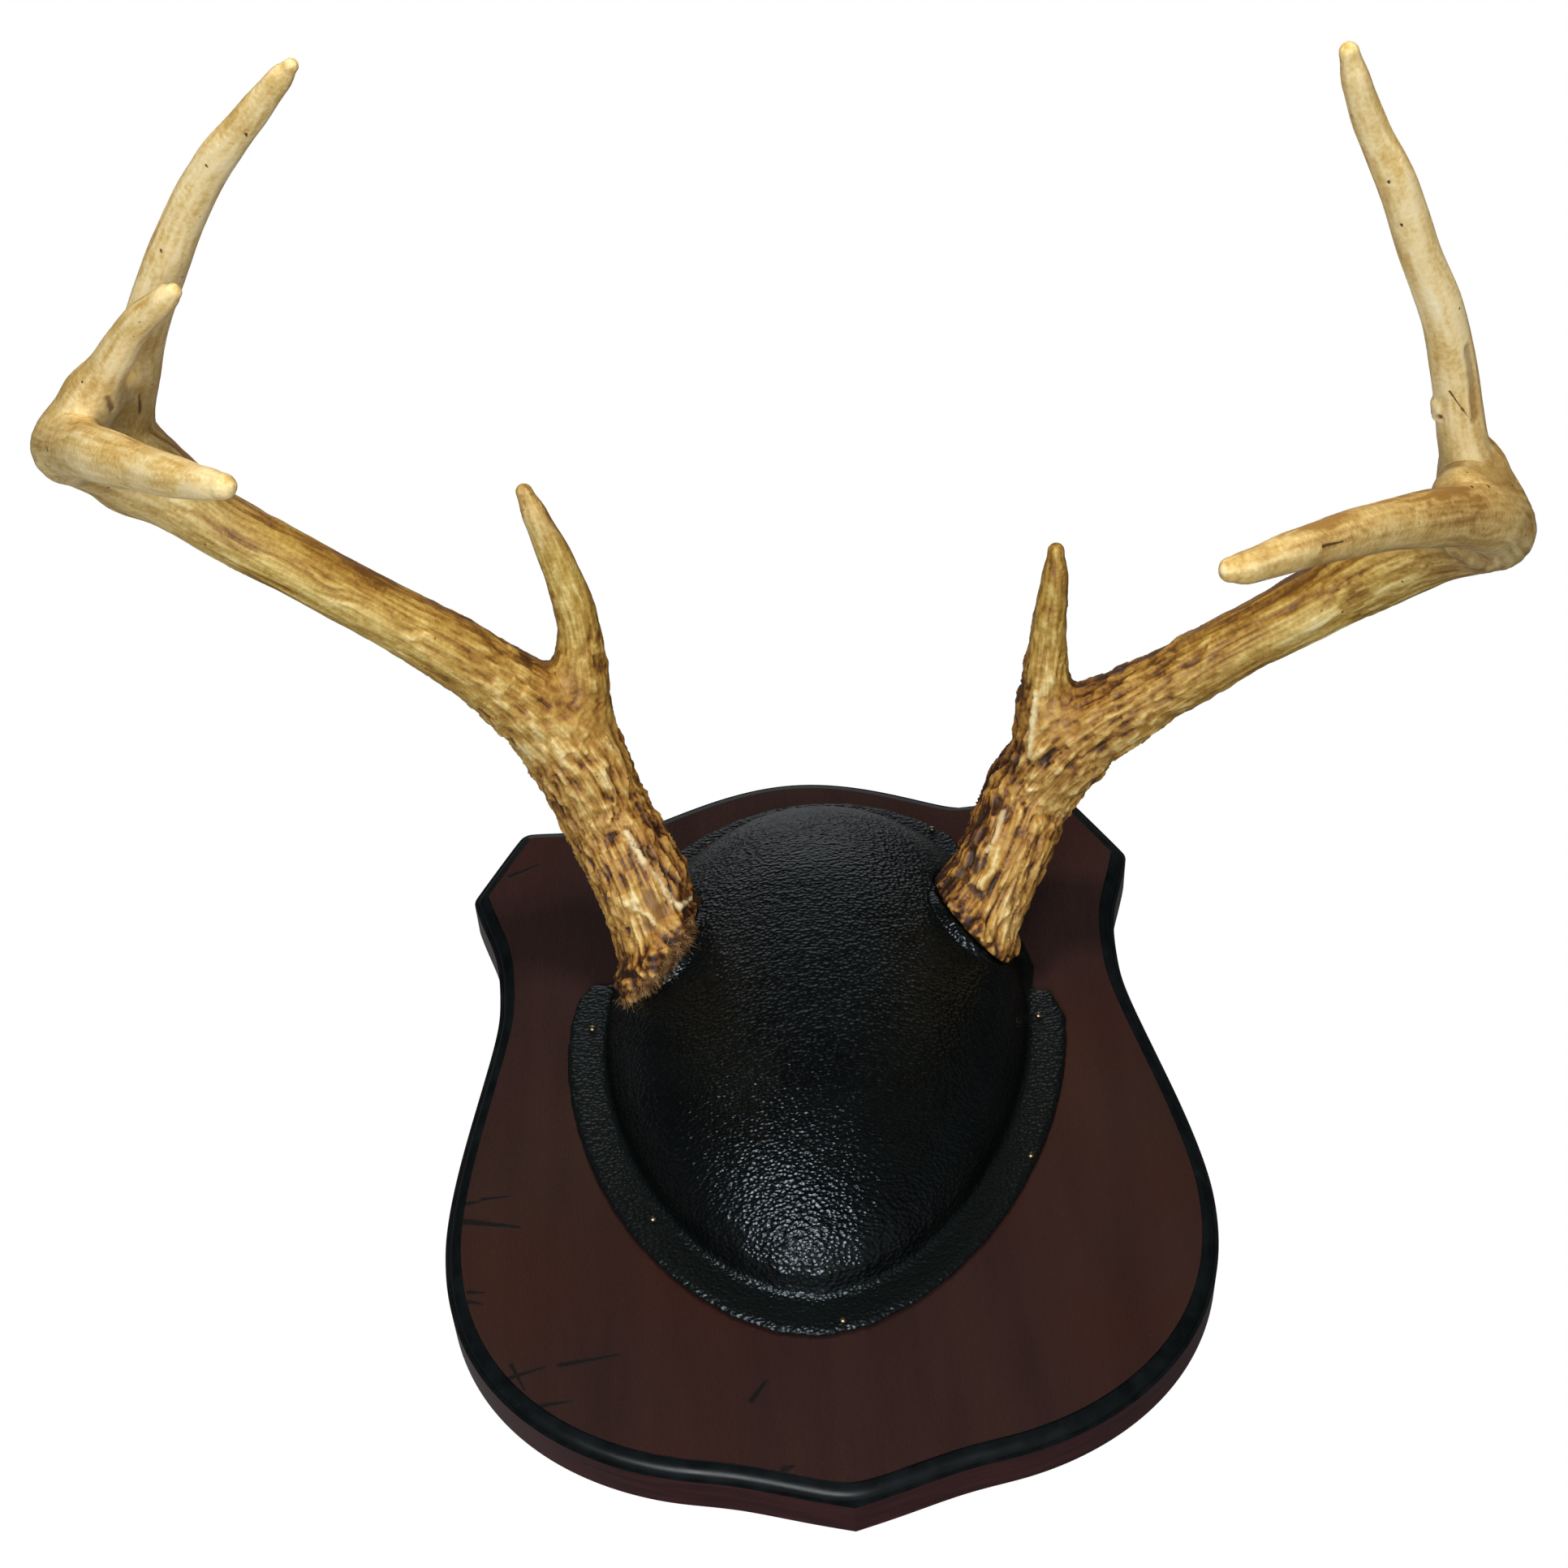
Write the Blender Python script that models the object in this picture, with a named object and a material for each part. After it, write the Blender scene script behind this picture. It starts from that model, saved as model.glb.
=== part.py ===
"""Antler mounting plaque, for Blender 4.5.

A shield-shaped board hangs flat on a wall. A leather cover, domed over the
skull plate, is nailed to its face, and two deer antlers stand out of it.

Metres, +Z up. The board's back lies in the plane y = 0 against the wall and
its face looks along -Y. The origin is the middle of the back.
"""
import math

import bmesh
import bpy
import numpy as np
from mathutils import Vector

# Board: its overall size, heights of its outline above the point, and drops
# of its upper corners below the crown
BOARD_WIDTH = 0.254
BOARD_HEIGHT = 0.305
BOARD_THICKNESS = 0.019
BELLY_HEIGHT = 0.1022
WAIST_WIDTH = 0.2208
WAIST_HEIGHT = 0.2026
EAR_WIDTH = 0.2424
EAR_DROP = 0.049
SHOULDER_WIDTH = 0.2056
SHOULDER_DROP = 0.016
FLANK_WIDTH = 0.0882
FLANK_HEIGHT = 0.0119
ARCH_WIDTH = 0.124
ARCH_DROP = 0.0182
CORNER_RADIUS = 0.0062
BACK_BEVEL = 0.0008

# Moulding round the face: a square step, a rounded edge and a flat fillet
STEP_DROP = 0.0009
ROUND_WIDTH = 0.0044
ROUND_DROP = 0.003
FILLET_WIDTH = 0.0012

# Leather cover: its widest line below the crown, the dome's reach above and
# below that line, the flange and the places where the flange is cut away
COVER_DROP = 0.1265
DOME_WIDTH = 0.1466
DOME_ABOVE = 0.097
DOME_BELOW = 0.108
DOME_HEIGHT = 0.045
DOME_PEAK = (0.004, 0.029)
FLANGE_WIDTH = 0.014
FLANGE_THICKNESS = 0.0026
FLANGE_TRIM = 0.0006
FLANGE_CUTS = ((9.0, 52.0), (128.0, 159.0))
FLANGE_TAPER = 8.0
FLANGE_END_WIDTH = 0.0085
COVER_LEAN = 0.05
COVER_SHIFT = 0.001
BOSS_DIAMETER = 0.062
BOSS_IN = 0.008

# Nails in the flange, each at an angle and a distance from the dome's foot
NAILS = ((0.0, 0.004), (174.0, 0.0055), (-40.0, 0.011), (-127.0, 0.0045),
         (-87.0, 0.0095), (64.0, 0.011), (113.0, 0.0077))
NAIL_HEAD_DIAMETER = 0.0024
NAIL_HEAD_HEIGHT = 0.0008
NAIL_SHANK_DIAMETER = 0.0011
NAIL_DEPTH = 0.009

# Antlers: the slanting burr, its seat in the cover, the furrows of the beam
# and one unit of the antler drawings below
BURR_DIAMETER = 0.041
BURR_THICKNESS = 0.008
BURR_FACING = (0.76, 0.57, 0.32)
BURR_BLEND = 0.036
BURR_KNOBS = 0.05
FURROW_DEPTH = 0.035
FURROW_LENGTH = 0.2
PEDICLE_DIAMETER = 0.018
PEDICLE_LENGTH = 0.009
ANTLER_UNIT = 0.001

GAP = 0.0003

# How finely the shapes are drawn
OUTLINE_STEPS = 8
COVER_SIDES = 48
DOME_RINGS = 8
BEAM_SIDES = 16
TINE_SIDES = 12
NAIL_SIDES = 8

# The foot of each burr is placed out to the side, off the board's face and up
# from the cover's widest line. Each antler is drawn from there. A station is
# how far out, off the board and up it lies, and how thick the antler is there.
ANTLERS = {
    "antler_left": {
        "side": -1,
        "foot": (0.050, 0.027, 0.020),
        "beam": [
            (0, 0, 0, 33), (6, 20, 14, 34), (16, 38, 31, 31), (24, 60, 38, 31),
            (37, 82, 42, 29), (57, 107, 42, 25), (80, 128, 43, 21),
            (103, 147, 45, 21), (126, 164, 49, 23), (144, 180, 52, 26),
            (156, 196, 45, 22), (160, 210, 33, 18), (144, 229, 4, 16),
            (118, 248, -31, 12), (103, 258, -49, 9), (96, 262, -56, 7),
        ],
        "tines": [
            [(23, 61, 40, 24), (24, 74, 45, 27), (20, 87, 47, 19),
             (19, 110, 52, 14), (23, 132, 55, 12), (28, 150, 57, 9),
             (31, 160, 59, 6)],
            [(150, 183, 55, 27), (150, 198, 59, 19), (144, 213, 60, 16),
             (134, 234, 58, 15), (124, 254, 57, 14), (114, 274, 55, 13),
             (102, 291, 51, 13), (90, 307, 46, 11), (79, 320, 41, 8),
             (74, 326, 39, 5)],
            [(160, 209, 35, 20), (152, 224, 35, 16), (139, 242, 29, 12),
             (128, 258, 23, 10), (118, 270, 17, 8), (114, 274, 15, 5)],
        ],
    },
    "antler_right": {
        "side": 1,
        "foot": (0.058, 0.025, 0.024),
        "beam": [
            (0, 0, 0, 33), (12, 20, 13, 33), (22, 35, 28, 32), (33, 53, 30, 30),
            (46, 69, 28, 28), (69, 88, 25, 24), (92, 106, 23, 22),
            (113, 122, 22, 25), (133, 139, 21, 29), (148, 154, 12, 27),
            (155, 168, -5, 21), (147, 187, -22, 18), (125, 207, -42, 15),
            (96, 228, -68, 13), (71, 243, -90, 11), (56, 250, -102, 9),
            (50, 252, -106, 7),
        ],
        "tines": [
            [(29, 59, 31, 22), (28, 70, 34, 22), (28, 82, 36, 16),
             (28, 104, 39, 13), (29, 121, 41, 10), (30, 132, 43, 6)],
            [(149, 175, -1, 26), (147, 188, 0, 20), (141, 202, -1, 16),
             (136, 224, 0, 14), (129, 248, 0, 13), (120, 269, 0, 12),
             (110, 290, 0, 12), (102, 308, 1, 11), (96, 322, 0, 8),
             (93, 332, 0, 6)],
        ],
    },
}


# Start from an empty scene
for leftover in list(bpy.data.objects):
    bpy.data.objects.remove(leftover, do_unlink=True)


def material(name, colour, roughness, metallic=0.0):
    """A plain Principled material for one kind of sub-part."""
    mat = bpy.data.materials.new(name)
    mat.use_nodes = True
    shader = mat.node_tree.nodes["Principled BSDF"]
    shader.inputs["Base Color"].default_value = (*colour, 1.0)
    shader.inputs["Roughness"].default_value = roughness
    shader.inputs["Metallic"].default_value = metallic
    return mat


def place(x, depth, z):
    """A point given by its distance in front of the wall."""
    return Vector((x, -depth, z))


def on_board(x, rise, z):
    """A point given by its height above the board's face."""
    return place(x, BOARD_THICKNESS + rise, z)


def skin(name, loops, mat, peak=None, smooth_angle=35.0):
    """One closed solid through a row of loops, capped at both ends."""
    bm = bmesh.new()
    rows = [[bm.verts.new(point) for point in loop] for loop in loops]
    for low, high in zip(rows, rows[1:]):
        for k in range(len(low)):
            after = (k + 1) % len(low)
            bm.faces.new((low[k], low[after], high[after], high[k]))
    bm.faces.new(rows[0])
    cap = bm.faces.new(rows[-1])
    if peak is not None:
        middle = bmesh.ops.poke(bm, faces=[cap])["verts"][0]
        middle.co = peak
    bmesh.ops.recalc_face_normals(bm, faces=bm.faces)
    mesh = bpy.data.meshes.new(name)
    bm.to_mesh(mesh)
    bm.free()
    mesh.materials.append(mat)
    mesh.shade_smooth()
    mesh.set_sharp_from_angle(angle=math.radians(smooth_angle))
    solid = bpy.data.objects.new(name, mesh)
    bpy.context.scene.collection.objects.link(solid)
    return solid


def combine(solid, other, operation):
    """A Boolean of one solid with a hidden helper."""
    other.hide_render = True
    other.display_type = "WIRE"
    cut = solid.modifiers.new(other.name, "BOOLEAN")
    cut.operation = operation
    cut.solver = "EXACT"
    cut.object = other


def curve(start, start_pull, end_pull, end, steps):
    """Points along a cubic curve, without its last point."""
    points = []
    for k in range(steps):
        t = k / steps
        points.append((1 - t) ** 3 * start + 3 * (1 - t) ** 2 * t * start_pull
                      + 3 * (1 - t) * t ** 2 * end_pull + t ** 3 * end)
    return points


def heading(degrees, length):
    """A step of some length in a direction of the board's plane."""
    angle = math.radians(degrees)
    return Vector((math.cos(angle), math.sin(angle))) * length


def rounded(before, corner, after, radius):
    """Points of a small arc in place of a corner."""
    back = (before - corner).normalized()
    ahead = (after - corner).normalized()
    half = back.angle(ahead) / 2
    reach = radius / math.tan(half)
    centre = corner + (back + ahead).normalized() * radius / math.sin(half)
    first = corner + back * reach - centre
    last = corner + ahead * reach - centre
    return [centre + first.slerp(last, k / 3).normalized() * radius for k in range(4)]


def board_outline():
    """The board's edge, clockwise seen from the front, starting at the point."""
    foot = -BOARD_HEIGHT / 2
    top = BOARD_HEIGHT / 2
    point = Vector((0, foot))
    flank = Vector((FLANK_WIDTH / 2, foot + FLANK_HEIGHT))
    belly = Vector((BOARD_WIDTH / 2, foot + BELLY_HEIGHT))
    waist = Vector((WAIST_WIDTH / 2, foot + WAIST_HEIGHT))
    ear = Vector((EAR_WIDTH / 2, top - EAR_DROP))
    shoulder = Vector((SHOULDER_WIDTH / 2, top - SHOULDER_DROP))
    crown = Vector((0, top))
    spring = Vector((ARCH_WIDTH / 2, top - ARCH_DROP))
    up = Vector((0, 1))
    belly_span = belly.y - flank.y
    waist_span = waist.y - belly.y
    ear_span = ear.y - waist.y

    half = curve(point, point + heading(12.8, 0.4 * flank.x),
                 flank - heading(7.4, 0.28 * flank.x), flank, OUTLINE_STEPS // 2)
    half += curve(flank, flank + heading(7.4, 0.45 * (belly.x - flank.x)),
                  belly - up * 0.65 * belly_span, belly, OUTLINE_STEPS + 4)
    half += curve(belly, belly + up * 0.32 * waist_span,
                  waist - up * 0.18 * waist_span, waist, OUTLINE_STEPS + 2)
    half += curve(waist, waist + up * 0.57 * ear_span,
                  ear - heading(74.6, 0.49 * ear_span), ear, OUTLINE_STEPS)
    half += rounded(half[-1], ear, shoulder, CORNER_RADIUS)
    half += rounded(ear, shoulder, spring, CORNER_RADIUS)
    half += curve(spring, spring - heading(0, 0.13 * spring.x),
                  crown + heading(0, 0.45 * spring.x), crown, OUTLINE_STEPS)
    return half + [crown] + [Vector((-p.x, p.y)) for p in reversed(half[1:])]


def inset(outline, distance):
    """The outline moved inwards by a distance, with mitred corners."""
    moved = []
    for k, corner in enumerate(outline):
        into = (corner - outline[k - 1]).normalized()
        out = (outline[(k + 1) % len(outline)] - corner).normalized()
        left_in = Vector((-into.y, into.x))
        left_out = Vector((-out.y, out.x))
        moved.append(corner + (left_in + left_out) * distance / (1 + left_in.dot(left_out)))
    return moved


def make_board(mat):
    """The shield with its moulded edge, in one piece."""
    outline = board_outline()
    side_height = BOARD_THICKNESS - STEP_DROP - ROUND_DROP
    profile = [(BACK_BEVEL, 0.0), (0.0, BACK_BEVEL), (0.0, side_height)]
    for degrees in (0, 30, 60, 90):
        angle = math.radians(degrees)
        profile.append((FILLET_WIDTH + ROUND_WIDTH * (1 - math.cos(angle)),
                        side_height + ROUND_DROP * math.sin(angle)))
    profile.append((FILLET_WIDTH + ROUND_WIDTH, BOARD_THICKNESS))
    loops = [[place(p.x, depth, p.y) for p in inset(outline, distance)]
             for distance, depth in profile]
    return skin("plaque", loops, mat)


def cover_middle():
    """Height of the cover's widest line."""
    return BOARD_HEIGHT / 2 - COVER_DROP


def cover_outline(angle, spread=0.0):
    """Where the dome meets the flange at an angle, moved out by a spread."""
    across = math.cos(angle)
    along = math.sin(angle)
    tall = (DOME_ABOVE if along > 0 else DOME_BELOW) + spread
    width = DOME_WIDTH / 2 + spread
    power = 2.0 if along > 0 else 1.8
    reach = (abs(across / width) ** power + abs(along / tall) ** power) ** (-1 / power)
    rise = along * reach
    return Vector((across * reach + COVER_LEAN * rise + COVER_SHIFT, cover_middle() + rise))


def cover_angles():
    """Angles round the cover, doubled where the flange is cut square."""
    cuts = [cut for pair in FLANGE_CUTS for cut in pair]
    plain = {360 * k / COVER_SIDES - 90 for k in range(COVER_SIDES)}
    sharp = {cut + side for cut in cuts for side in (-0.4, 0.4)}
    clear = {a for a in plain if all(abs(a - cut) > 2.5 for cut in cuts)}
    return [math.radians(a) for a in sorted(clear | sharp)]


def flange_spread(angle):
    """How far the flange reaches out of the dome at an angle."""
    degrees = math.degrees(angle)
    if any(low < degrees < high for low, high in FLANGE_CUTS):
        return FLANGE_TRIM
    to_cut = min(abs(degrees - cut) for pair in FLANGE_CUTS for cut in pair)
    full = min(1.0, math.sqrt(to_cut / FLANGE_TAPER))
    return FLANGE_END_WIDTH + (FLANGE_WIDTH - FLANGE_END_WIDTH) * full


def make_cover(mat):
    """The leather cover: flange and dome in one skin."""
    angles = cover_angles()
    bend = 0.0006
    top = GAP + FLANGE_THICKNESS
    loops = []
    for trim, rise in ((0.0, GAP), (0.0, top - bend), (bend, top)):
        ring = [cover_outline(a, flange_spread(a) - min(trim, FLANGE_TRIM / 2)) for a in angles]
        loops.append([on_board(p.x, rise, p.y) for p in ring])
    peak = Vector((DOME_PEAK[0], cover_middle() + DOME_PEAK[1]))
    for k in range(DOME_RINGS):
        slope = math.radians(90 * k / DOME_RINGS)
        ring = [peak + (cover_outline(a) - peak) * math.cos(slope) for a in angles]
        rise = top + (DOME_HEIGHT - top) * math.sin(slope)
        loops.append([on_board(p.x, rise, p.y) for p in ring])
    return skin("skull_cover", loops, mat, peak=on_board(peak.x, DOME_HEIGHT, peak.y))


def stations_in_place(antler, stations):
    """Centres and diameters of an antler's stations, in metres."""
    out, rise, up = antler["foot"]
    middle = cover_middle() + up
    centres = [on_board(antler["side"] * (out + s[0] * ANTLER_UNIT),
                        rise + s[1] * ANTLER_UNIT, middle + s[2] * ANTLER_UNIT)
               for s in stations]
    return centres, [s[3] * ANTLER_UNIT for s in stations]


def smooth_path(points, sizes, steps):
    """A smooth curve through the points, with the sizes carried along it."""
    knots = np.array(points, float)
    girth = np.array(sizes, float)
    slope = np.gradient(knots, axis=0)
    centres = []
    diameters = []
    for k in range(len(knots) - 1):
        for t in np.arange(steps) / steps:
            a = 2 * t ** 3 - 3 * t ** 2 + 1
            b = t ** 3 - 2 * t ** 2 + t
            c = -2 * t ** 3 + 3 * t ** 2
            d = t ** 3 - t ** 2
            centres.append(a * knots[k] + b * slope[k] + c * knots[k + 1] + d * slope[k + 1])
            diameters.append(girth[k] + (girth[k + 1] - girth[k]) * t)
    centres.append(knots[-1])
    diameters.append(girth[-1])
    return [Vector(c) for c in centres], diameters


def ring(centre, axis, side, diameter, count, knobs=0.0):
    """A loop of points round an axis, every other one pushed out by knobs."""
    across = (side - axis * side.dot(axis)).normalized()
    over = axis.cross(across)
    points = []
    for k in range(count):
        angle = 2 * math.pi * k / count
        radius = diameter / 2 * (1 + (knobs if k % 2 else -knobs))
        points.append(centre + (across * math.cos(angle) + over * math.sin(angle)) * radius)
    return points


def sweep(name, rows, count, mat):
    """A round horn through rows of centre, axis, diameter and knobs."""
    side = Vector((0, 0, 1))
    loops = []
    for centre, axis, diameter, knobs in rows:
        side = (side - axis * side.dot(axis)).normalized()
        loops.append(ring(centre, axis, side, diameter, count, knobs))
    for degrees in (35, 65):
        angle = math.radians(degrees)
        loops.append(ring(centre + axis * diameter / 2 * math.sin(angle), axis, side,
                          diameter * math.cos(angle), count))
    return skin(name, loops, mat, peak=centre + axis * diameter / 2, smooth_angle=60.0)


def path_rows(path, thick):
    """Rows of a horn that stand square to its path."""
    rows = []
    for k, centre in enumerate(path):
        ahead = path[min(k + 1, len(path) - 1)] - path[max(k - 1, 0)]
        rows.append((centre, ahead.normalized(), thick[k], 0.0))
    return rows


def burr_place(antler):
    """The burr's foot, the way its flat underside faces, and the beam's path."""
    centres, diameters = stations_in_place(antler, antler["beam"])
    path, thick = smooth_path(centres, diameters, 3)
    out, rise, up = BURR_FACING
    facing = Vector((antler["side"] * out, -rise, up)).normalized()
    return path[0], facing, path, thick


def beam_rows(antler):
    """Rows of a main beam, from its pedicle through its slanting burr."""
    foot, facing, path, thick = burr_place(antler)
    start = (path[1] - path[0]).normalized()
    neck = (BURR_DIAMETER + thick[1]) / 2
    rows = [(foot - facing * PEDICLE_LENGTH, facing, PEDICLE_DIAMETER, 0.0),
            (foot, facing, PEDICLE_DIAMETER, 0.0),
            (foot, facing, BURR_DIAMETER * 0.9, 0.0)]
    for share, size, knobs in ((0.3, BURR_DIAMETER, BURR_KNOBS),
                               (0.65, BURR_DIAMETER * 0.98, BURR_KNOBS),
                               (1.0, neck, BURR_KNOBS * 0.8)):
        along = BURR_THICKNESS * share
        rows.append((foot + start * along, facing.slerp(start, along / BURR_BLEND), size, knobs))
    length = 0.0
    for k, (centre, axis, diameter, knobs) in enumerate(path_rows(path, thick)):
        length += (centre - path[max(k - 1, 0)]).length
        if length > BURR_THICKNESS * 1.4:
            furrow = FURROW_DEPTH * max(0.0, 1 - length / FURROW_LENGTH)
            rows.append((centre, facing.slerp(axis, min(1.0, length / BURR_BLEND)), diameter,
                         furrow))
    return rows


def make_antler(name, antler, mat):
    """Main beam with its pedicle and burr, and the tines joined to it."""
    beam = sweep(name, beam_rows(antler), BEAM_SIDES, mat)
    for k, stations in enumerate(antler["tines"]):
        centres, diameters = stations_in_place(antler, stations)
        tine_rows = path_rows(*smooth_path(centres, diameters, 2))
        tine = sweep(f"{name}_tine_{k + 1}", tine_rows, TINE_SIDES, mat)
        combine(beam, tine, "UNION")
    return beam


def seat_antler(cover, name, antler, mat):
    """A leather boss under the burr, and the pocket for the pedicle."""
    foot, facing, path, thick = burr_place(antler)
    side = Vector((0, 0, 1))
    wide = BURR_DIAMETER * (1 + BURR_KNOBS) + 4 * GAP
    snug = PEDICLE_DIAMETER + 2 * GAP
    base = on_board(foot.x - antler["side"] * BOSS_IN, 2 * GAP, foot.z)
    low = ring(base, Vector((0, -1, 0)), side, BOSS_DIAMETER, BEAM_SIDES)
    high = ring(foot - facing * GAP / 2, facing, side, BURR_DIAMETER * 0.97, BEAM_SIDES)
    boss = skin(f"{name}_boss", [low, high], mat)
    combine(cover, boss, "UNION")
    rows = [(-PEDICLE_LENGTH - GAP, snug), (-GAP, snug), (-GAP, wide)]
    loops = [ring(foot + facing * along, facing, side, size, BEAM_SIDES) for along, size in rows]
    start = (path[1] - path[0]).normalized()
    for along in (BURR_THICKNESS, BURR_THICKNESS * 2, BURR_THICKNESS * 3):
        tilt = facing.slerp(start, along / BURR_BLEND)
        loops.append(ring(foot + start * along, tilt, side, wide, BEAM_SIDES))
    pocket = skin(f"{name}_pocket", loops, mat)
    combine(cover, pocket, "DIFFERENCE")


def nail_spots():
    """Where the nails stand on the flange."""
    return [cover_outline(math.radians(angle), spread) for angle, spread in NAILS]


def make_nail(name, spot, mat):
    """A round-headed nail through the flange into the board."""
    seat = GAP + FLANGE_THICKNESS + GAP
    rows = [(-NAIL_DEPTH, NAIL_SHANK_DIAMETER * 0.3),
            (-NAIL_DEPTH + NAIL_SHANK_DIAMETER, NAIL_SHANK_DIAMETER),
            (seat, NAIL_SHANK_DIAMETER), (seat, NAIL_HEAD_DIAMETER),
            (seat + NAIL_HEAD_HEIGHT * 0.45, NAIL_HEAD_DIAMETER),
            (seat + NAIL_HEAD_HEIGHT, NAIL_HEAD_DIAMETER * 0.6)]
    loops = [ring(on_board(spot.x, rise, spot.y), Vector((0, -1, 0)), Vector((0, 0, 1)),
                  size, NAIL_SIDES) for rise, size in rows]
    return skin(name, loops, mat)


def drill_for_nails(solids, spots, mat):
    """Clearance holes for the nail shanks, in the cover and the board."""
    for number, spot in enumerate(spots):
        ends = (-NAIL_DEPTH - GAP, 2 * FLANGE_THICKNESS)
        drill = skin(f"nail_hole_{number + 1}",
                     [ring(on_board(spot.x, rise, spot.y), Vector((0, -1, 0)),
                           Vector((0, 0, 1)), NAIL_SHANK_DIAMETER + 2 * GAP, NAIL_SIDES)
                      for rise in ends], mat)
        for solid in solids:
            combine(solid, drill, "DIFFERENCE")


wood = material("stained_wood", (0.045, 0.022, 0.020), 0.45)
leather = material("black_leather", (0.012, 0.014, 0.016), 0.5)
horn = material("antler", (0.52, 0.36, 0.17), 0.6)
brass = material("brass", (0.45, 0.34, 0.16), 0.35, metallic=1.0)

board = make_board(wood)
cover = make_cover(leather)
for antler_name, antler_drawing in ANTLERS.items():
    make_antler(antler_name, antler_drawing, horn)
    seat_antler(cover, antler_name, antler_drawing, leather)
spots = nail_spots()
for number, spot in enumerate(spots):
    make_nail(f"nail_{number + 1}", spot, brass)
drill_for_nails((board, cover), spots, wood)
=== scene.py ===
# %% [markdown]
# # Antler mounting plaque
# A shield-shaped board hangs on the wall. A leather cover is drawn over the
# skull plate and nailed to the board, and two deer antlers stand out of it.
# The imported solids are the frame. Each cell below takes one of them and gives
# it the fine form and the finish of the real thing.

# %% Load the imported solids
import math
import random

import bmesh
import bpy
import numpy as np
from mathutils import Matrix, Vector, noise
from mathutils.bvhtree import BVHTree


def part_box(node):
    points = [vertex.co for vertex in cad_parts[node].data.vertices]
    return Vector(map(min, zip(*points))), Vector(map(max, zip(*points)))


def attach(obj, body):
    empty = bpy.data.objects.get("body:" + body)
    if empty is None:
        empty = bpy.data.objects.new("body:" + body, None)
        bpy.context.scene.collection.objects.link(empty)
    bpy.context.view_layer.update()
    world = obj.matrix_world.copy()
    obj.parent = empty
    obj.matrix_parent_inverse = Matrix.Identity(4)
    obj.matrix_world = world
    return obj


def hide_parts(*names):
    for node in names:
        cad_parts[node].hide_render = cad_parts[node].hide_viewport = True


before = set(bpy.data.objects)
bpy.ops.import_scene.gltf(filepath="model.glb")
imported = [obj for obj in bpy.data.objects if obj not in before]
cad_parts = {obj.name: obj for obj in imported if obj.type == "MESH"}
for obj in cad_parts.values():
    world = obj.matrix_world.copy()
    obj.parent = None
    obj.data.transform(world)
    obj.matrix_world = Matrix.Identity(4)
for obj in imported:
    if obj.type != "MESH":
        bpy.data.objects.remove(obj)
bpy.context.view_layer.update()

MM = 0.001
scene = bpy.context.scene

# %% [markdown]
# ## The camera
# The plaque is seen from below, as someone standing under it would look up.
# A camera can be aimed with a target or with angles. Angles are used here,
# because they keep the slight tilt of the view. The same angles give the
# direction of a ray through any point of the picture, and the marks of wear
# are placed on the surface with such rays.

# %% Place the camera
PICTURE = 1932
FOCAL = 3200
EYE = Vector((-0.01560, -0.72958, -0.54044))
YAW, PITCH, ROLL = (math.radians(a) for a in (-0.996, 44.151, -4.765))


def view_axes():
    """Right, up and forward of the camera in the row frame."""
    forward = Vector((-math.sin(YAW) * math.cos(PITCH), math.cos(YAW) * math.cos(PITCH),
                      math.sin(PITCH)))
    level = Vector((math.cos(YAW), math.sin(YAW), 0))
    above = level.cross(forward)
    right = level * math.cos(ROLL) + above * math.sin(ROLL)
    up = above * math.cos(ROLL) - level * math.sin(ROLL)
    return right, up, forward


RIGHT, UP, FORWARD = view_axes()
camera_data = bpy.data.cameras.new("camera")
camera_data.sensor_width = 36
camera_data.lens = 36 * FOCAL / PICTURE
camera_data.clip_start = 0.01
camera = bpy.data.objects.new("camera", camera_data)
camera.matrix_world = Matrix.Translation(EYE) @ Matrix((RIGHT, UP, -FORWARD)).transposed().to_4x4()
scene.collection.objects.link(camera)
scene.camera = camera


def ray_through(x, y):
    """Direction from the eye through a point of the picture."""
    return (FORWARD * FOCAL + RIGHT * (x - PICTURE / 2) + UP * (PICTURE / 2 - y)).normalized()


print("camera at", EYE[:], "lens", round(camera_data.lens, 2))

# %% [markdown]
# ## Helpers for fine meshes
# The solids are made of long flat facets. Carving needs small even faces. A
# voxel remesh gives them, a few rounds of smoothing take the facets away, and
# the relief is then pushed along the normals of the points.

# %% Copy, remesh and smooth
WELD = 0.00001


def welded_copy(node, name):
    """The node's loose triangles joined again, as a new object."""
    bm = bmesh.new()
    bm.from_mesh(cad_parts[node].data)
    bmesh.ops.remove_doubles(bm, verts=bm.verts, dist=WELD)
    return as_object(bm, name)


def as_object(bm, name):
    """An object made of a bmesh, which is freed."""
    mesh = bpy.data.meshes.new(name)
    bm.to_mesh(mesh)
    bm.free()
    piece = bpy.data.objects.new(name, mesh)
    scene.collection.objects.link(piece)
    return piece


def remesh(piece, voxel):
    """Even small quads all over, in place of the facets."""
    even = piece.modifiers.new("even quads", "REMESH")
    even.mode = "VOXEL"
    even.voxel_size = voxel
    evaluated = piece.evaluated_get(bpy.context.evaluated_depsgraph_get())
    fine = bpy.data.meshes.new_from_object(evaluated)
    piece.modifiers.clear()
    piece.data = fine
    fine.name = piece.name


def smooth(piece, rounds):
    """Each point moves halfway to its neighbours, several times over."""
    bm = bmesh.new()
    bm.from_mesh(piece.data)
    for _ in range(rounds):
        bmesh.ops.smooth_vert(bm, verts=bm.verts, factor=0.5, use_axis_x=True,
                              use_axis_y=True, use_axis_z=True)
    bm.to_mesh(piece.data)
    bm.free()


print("points closer than", WELD, "are welded")

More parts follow.
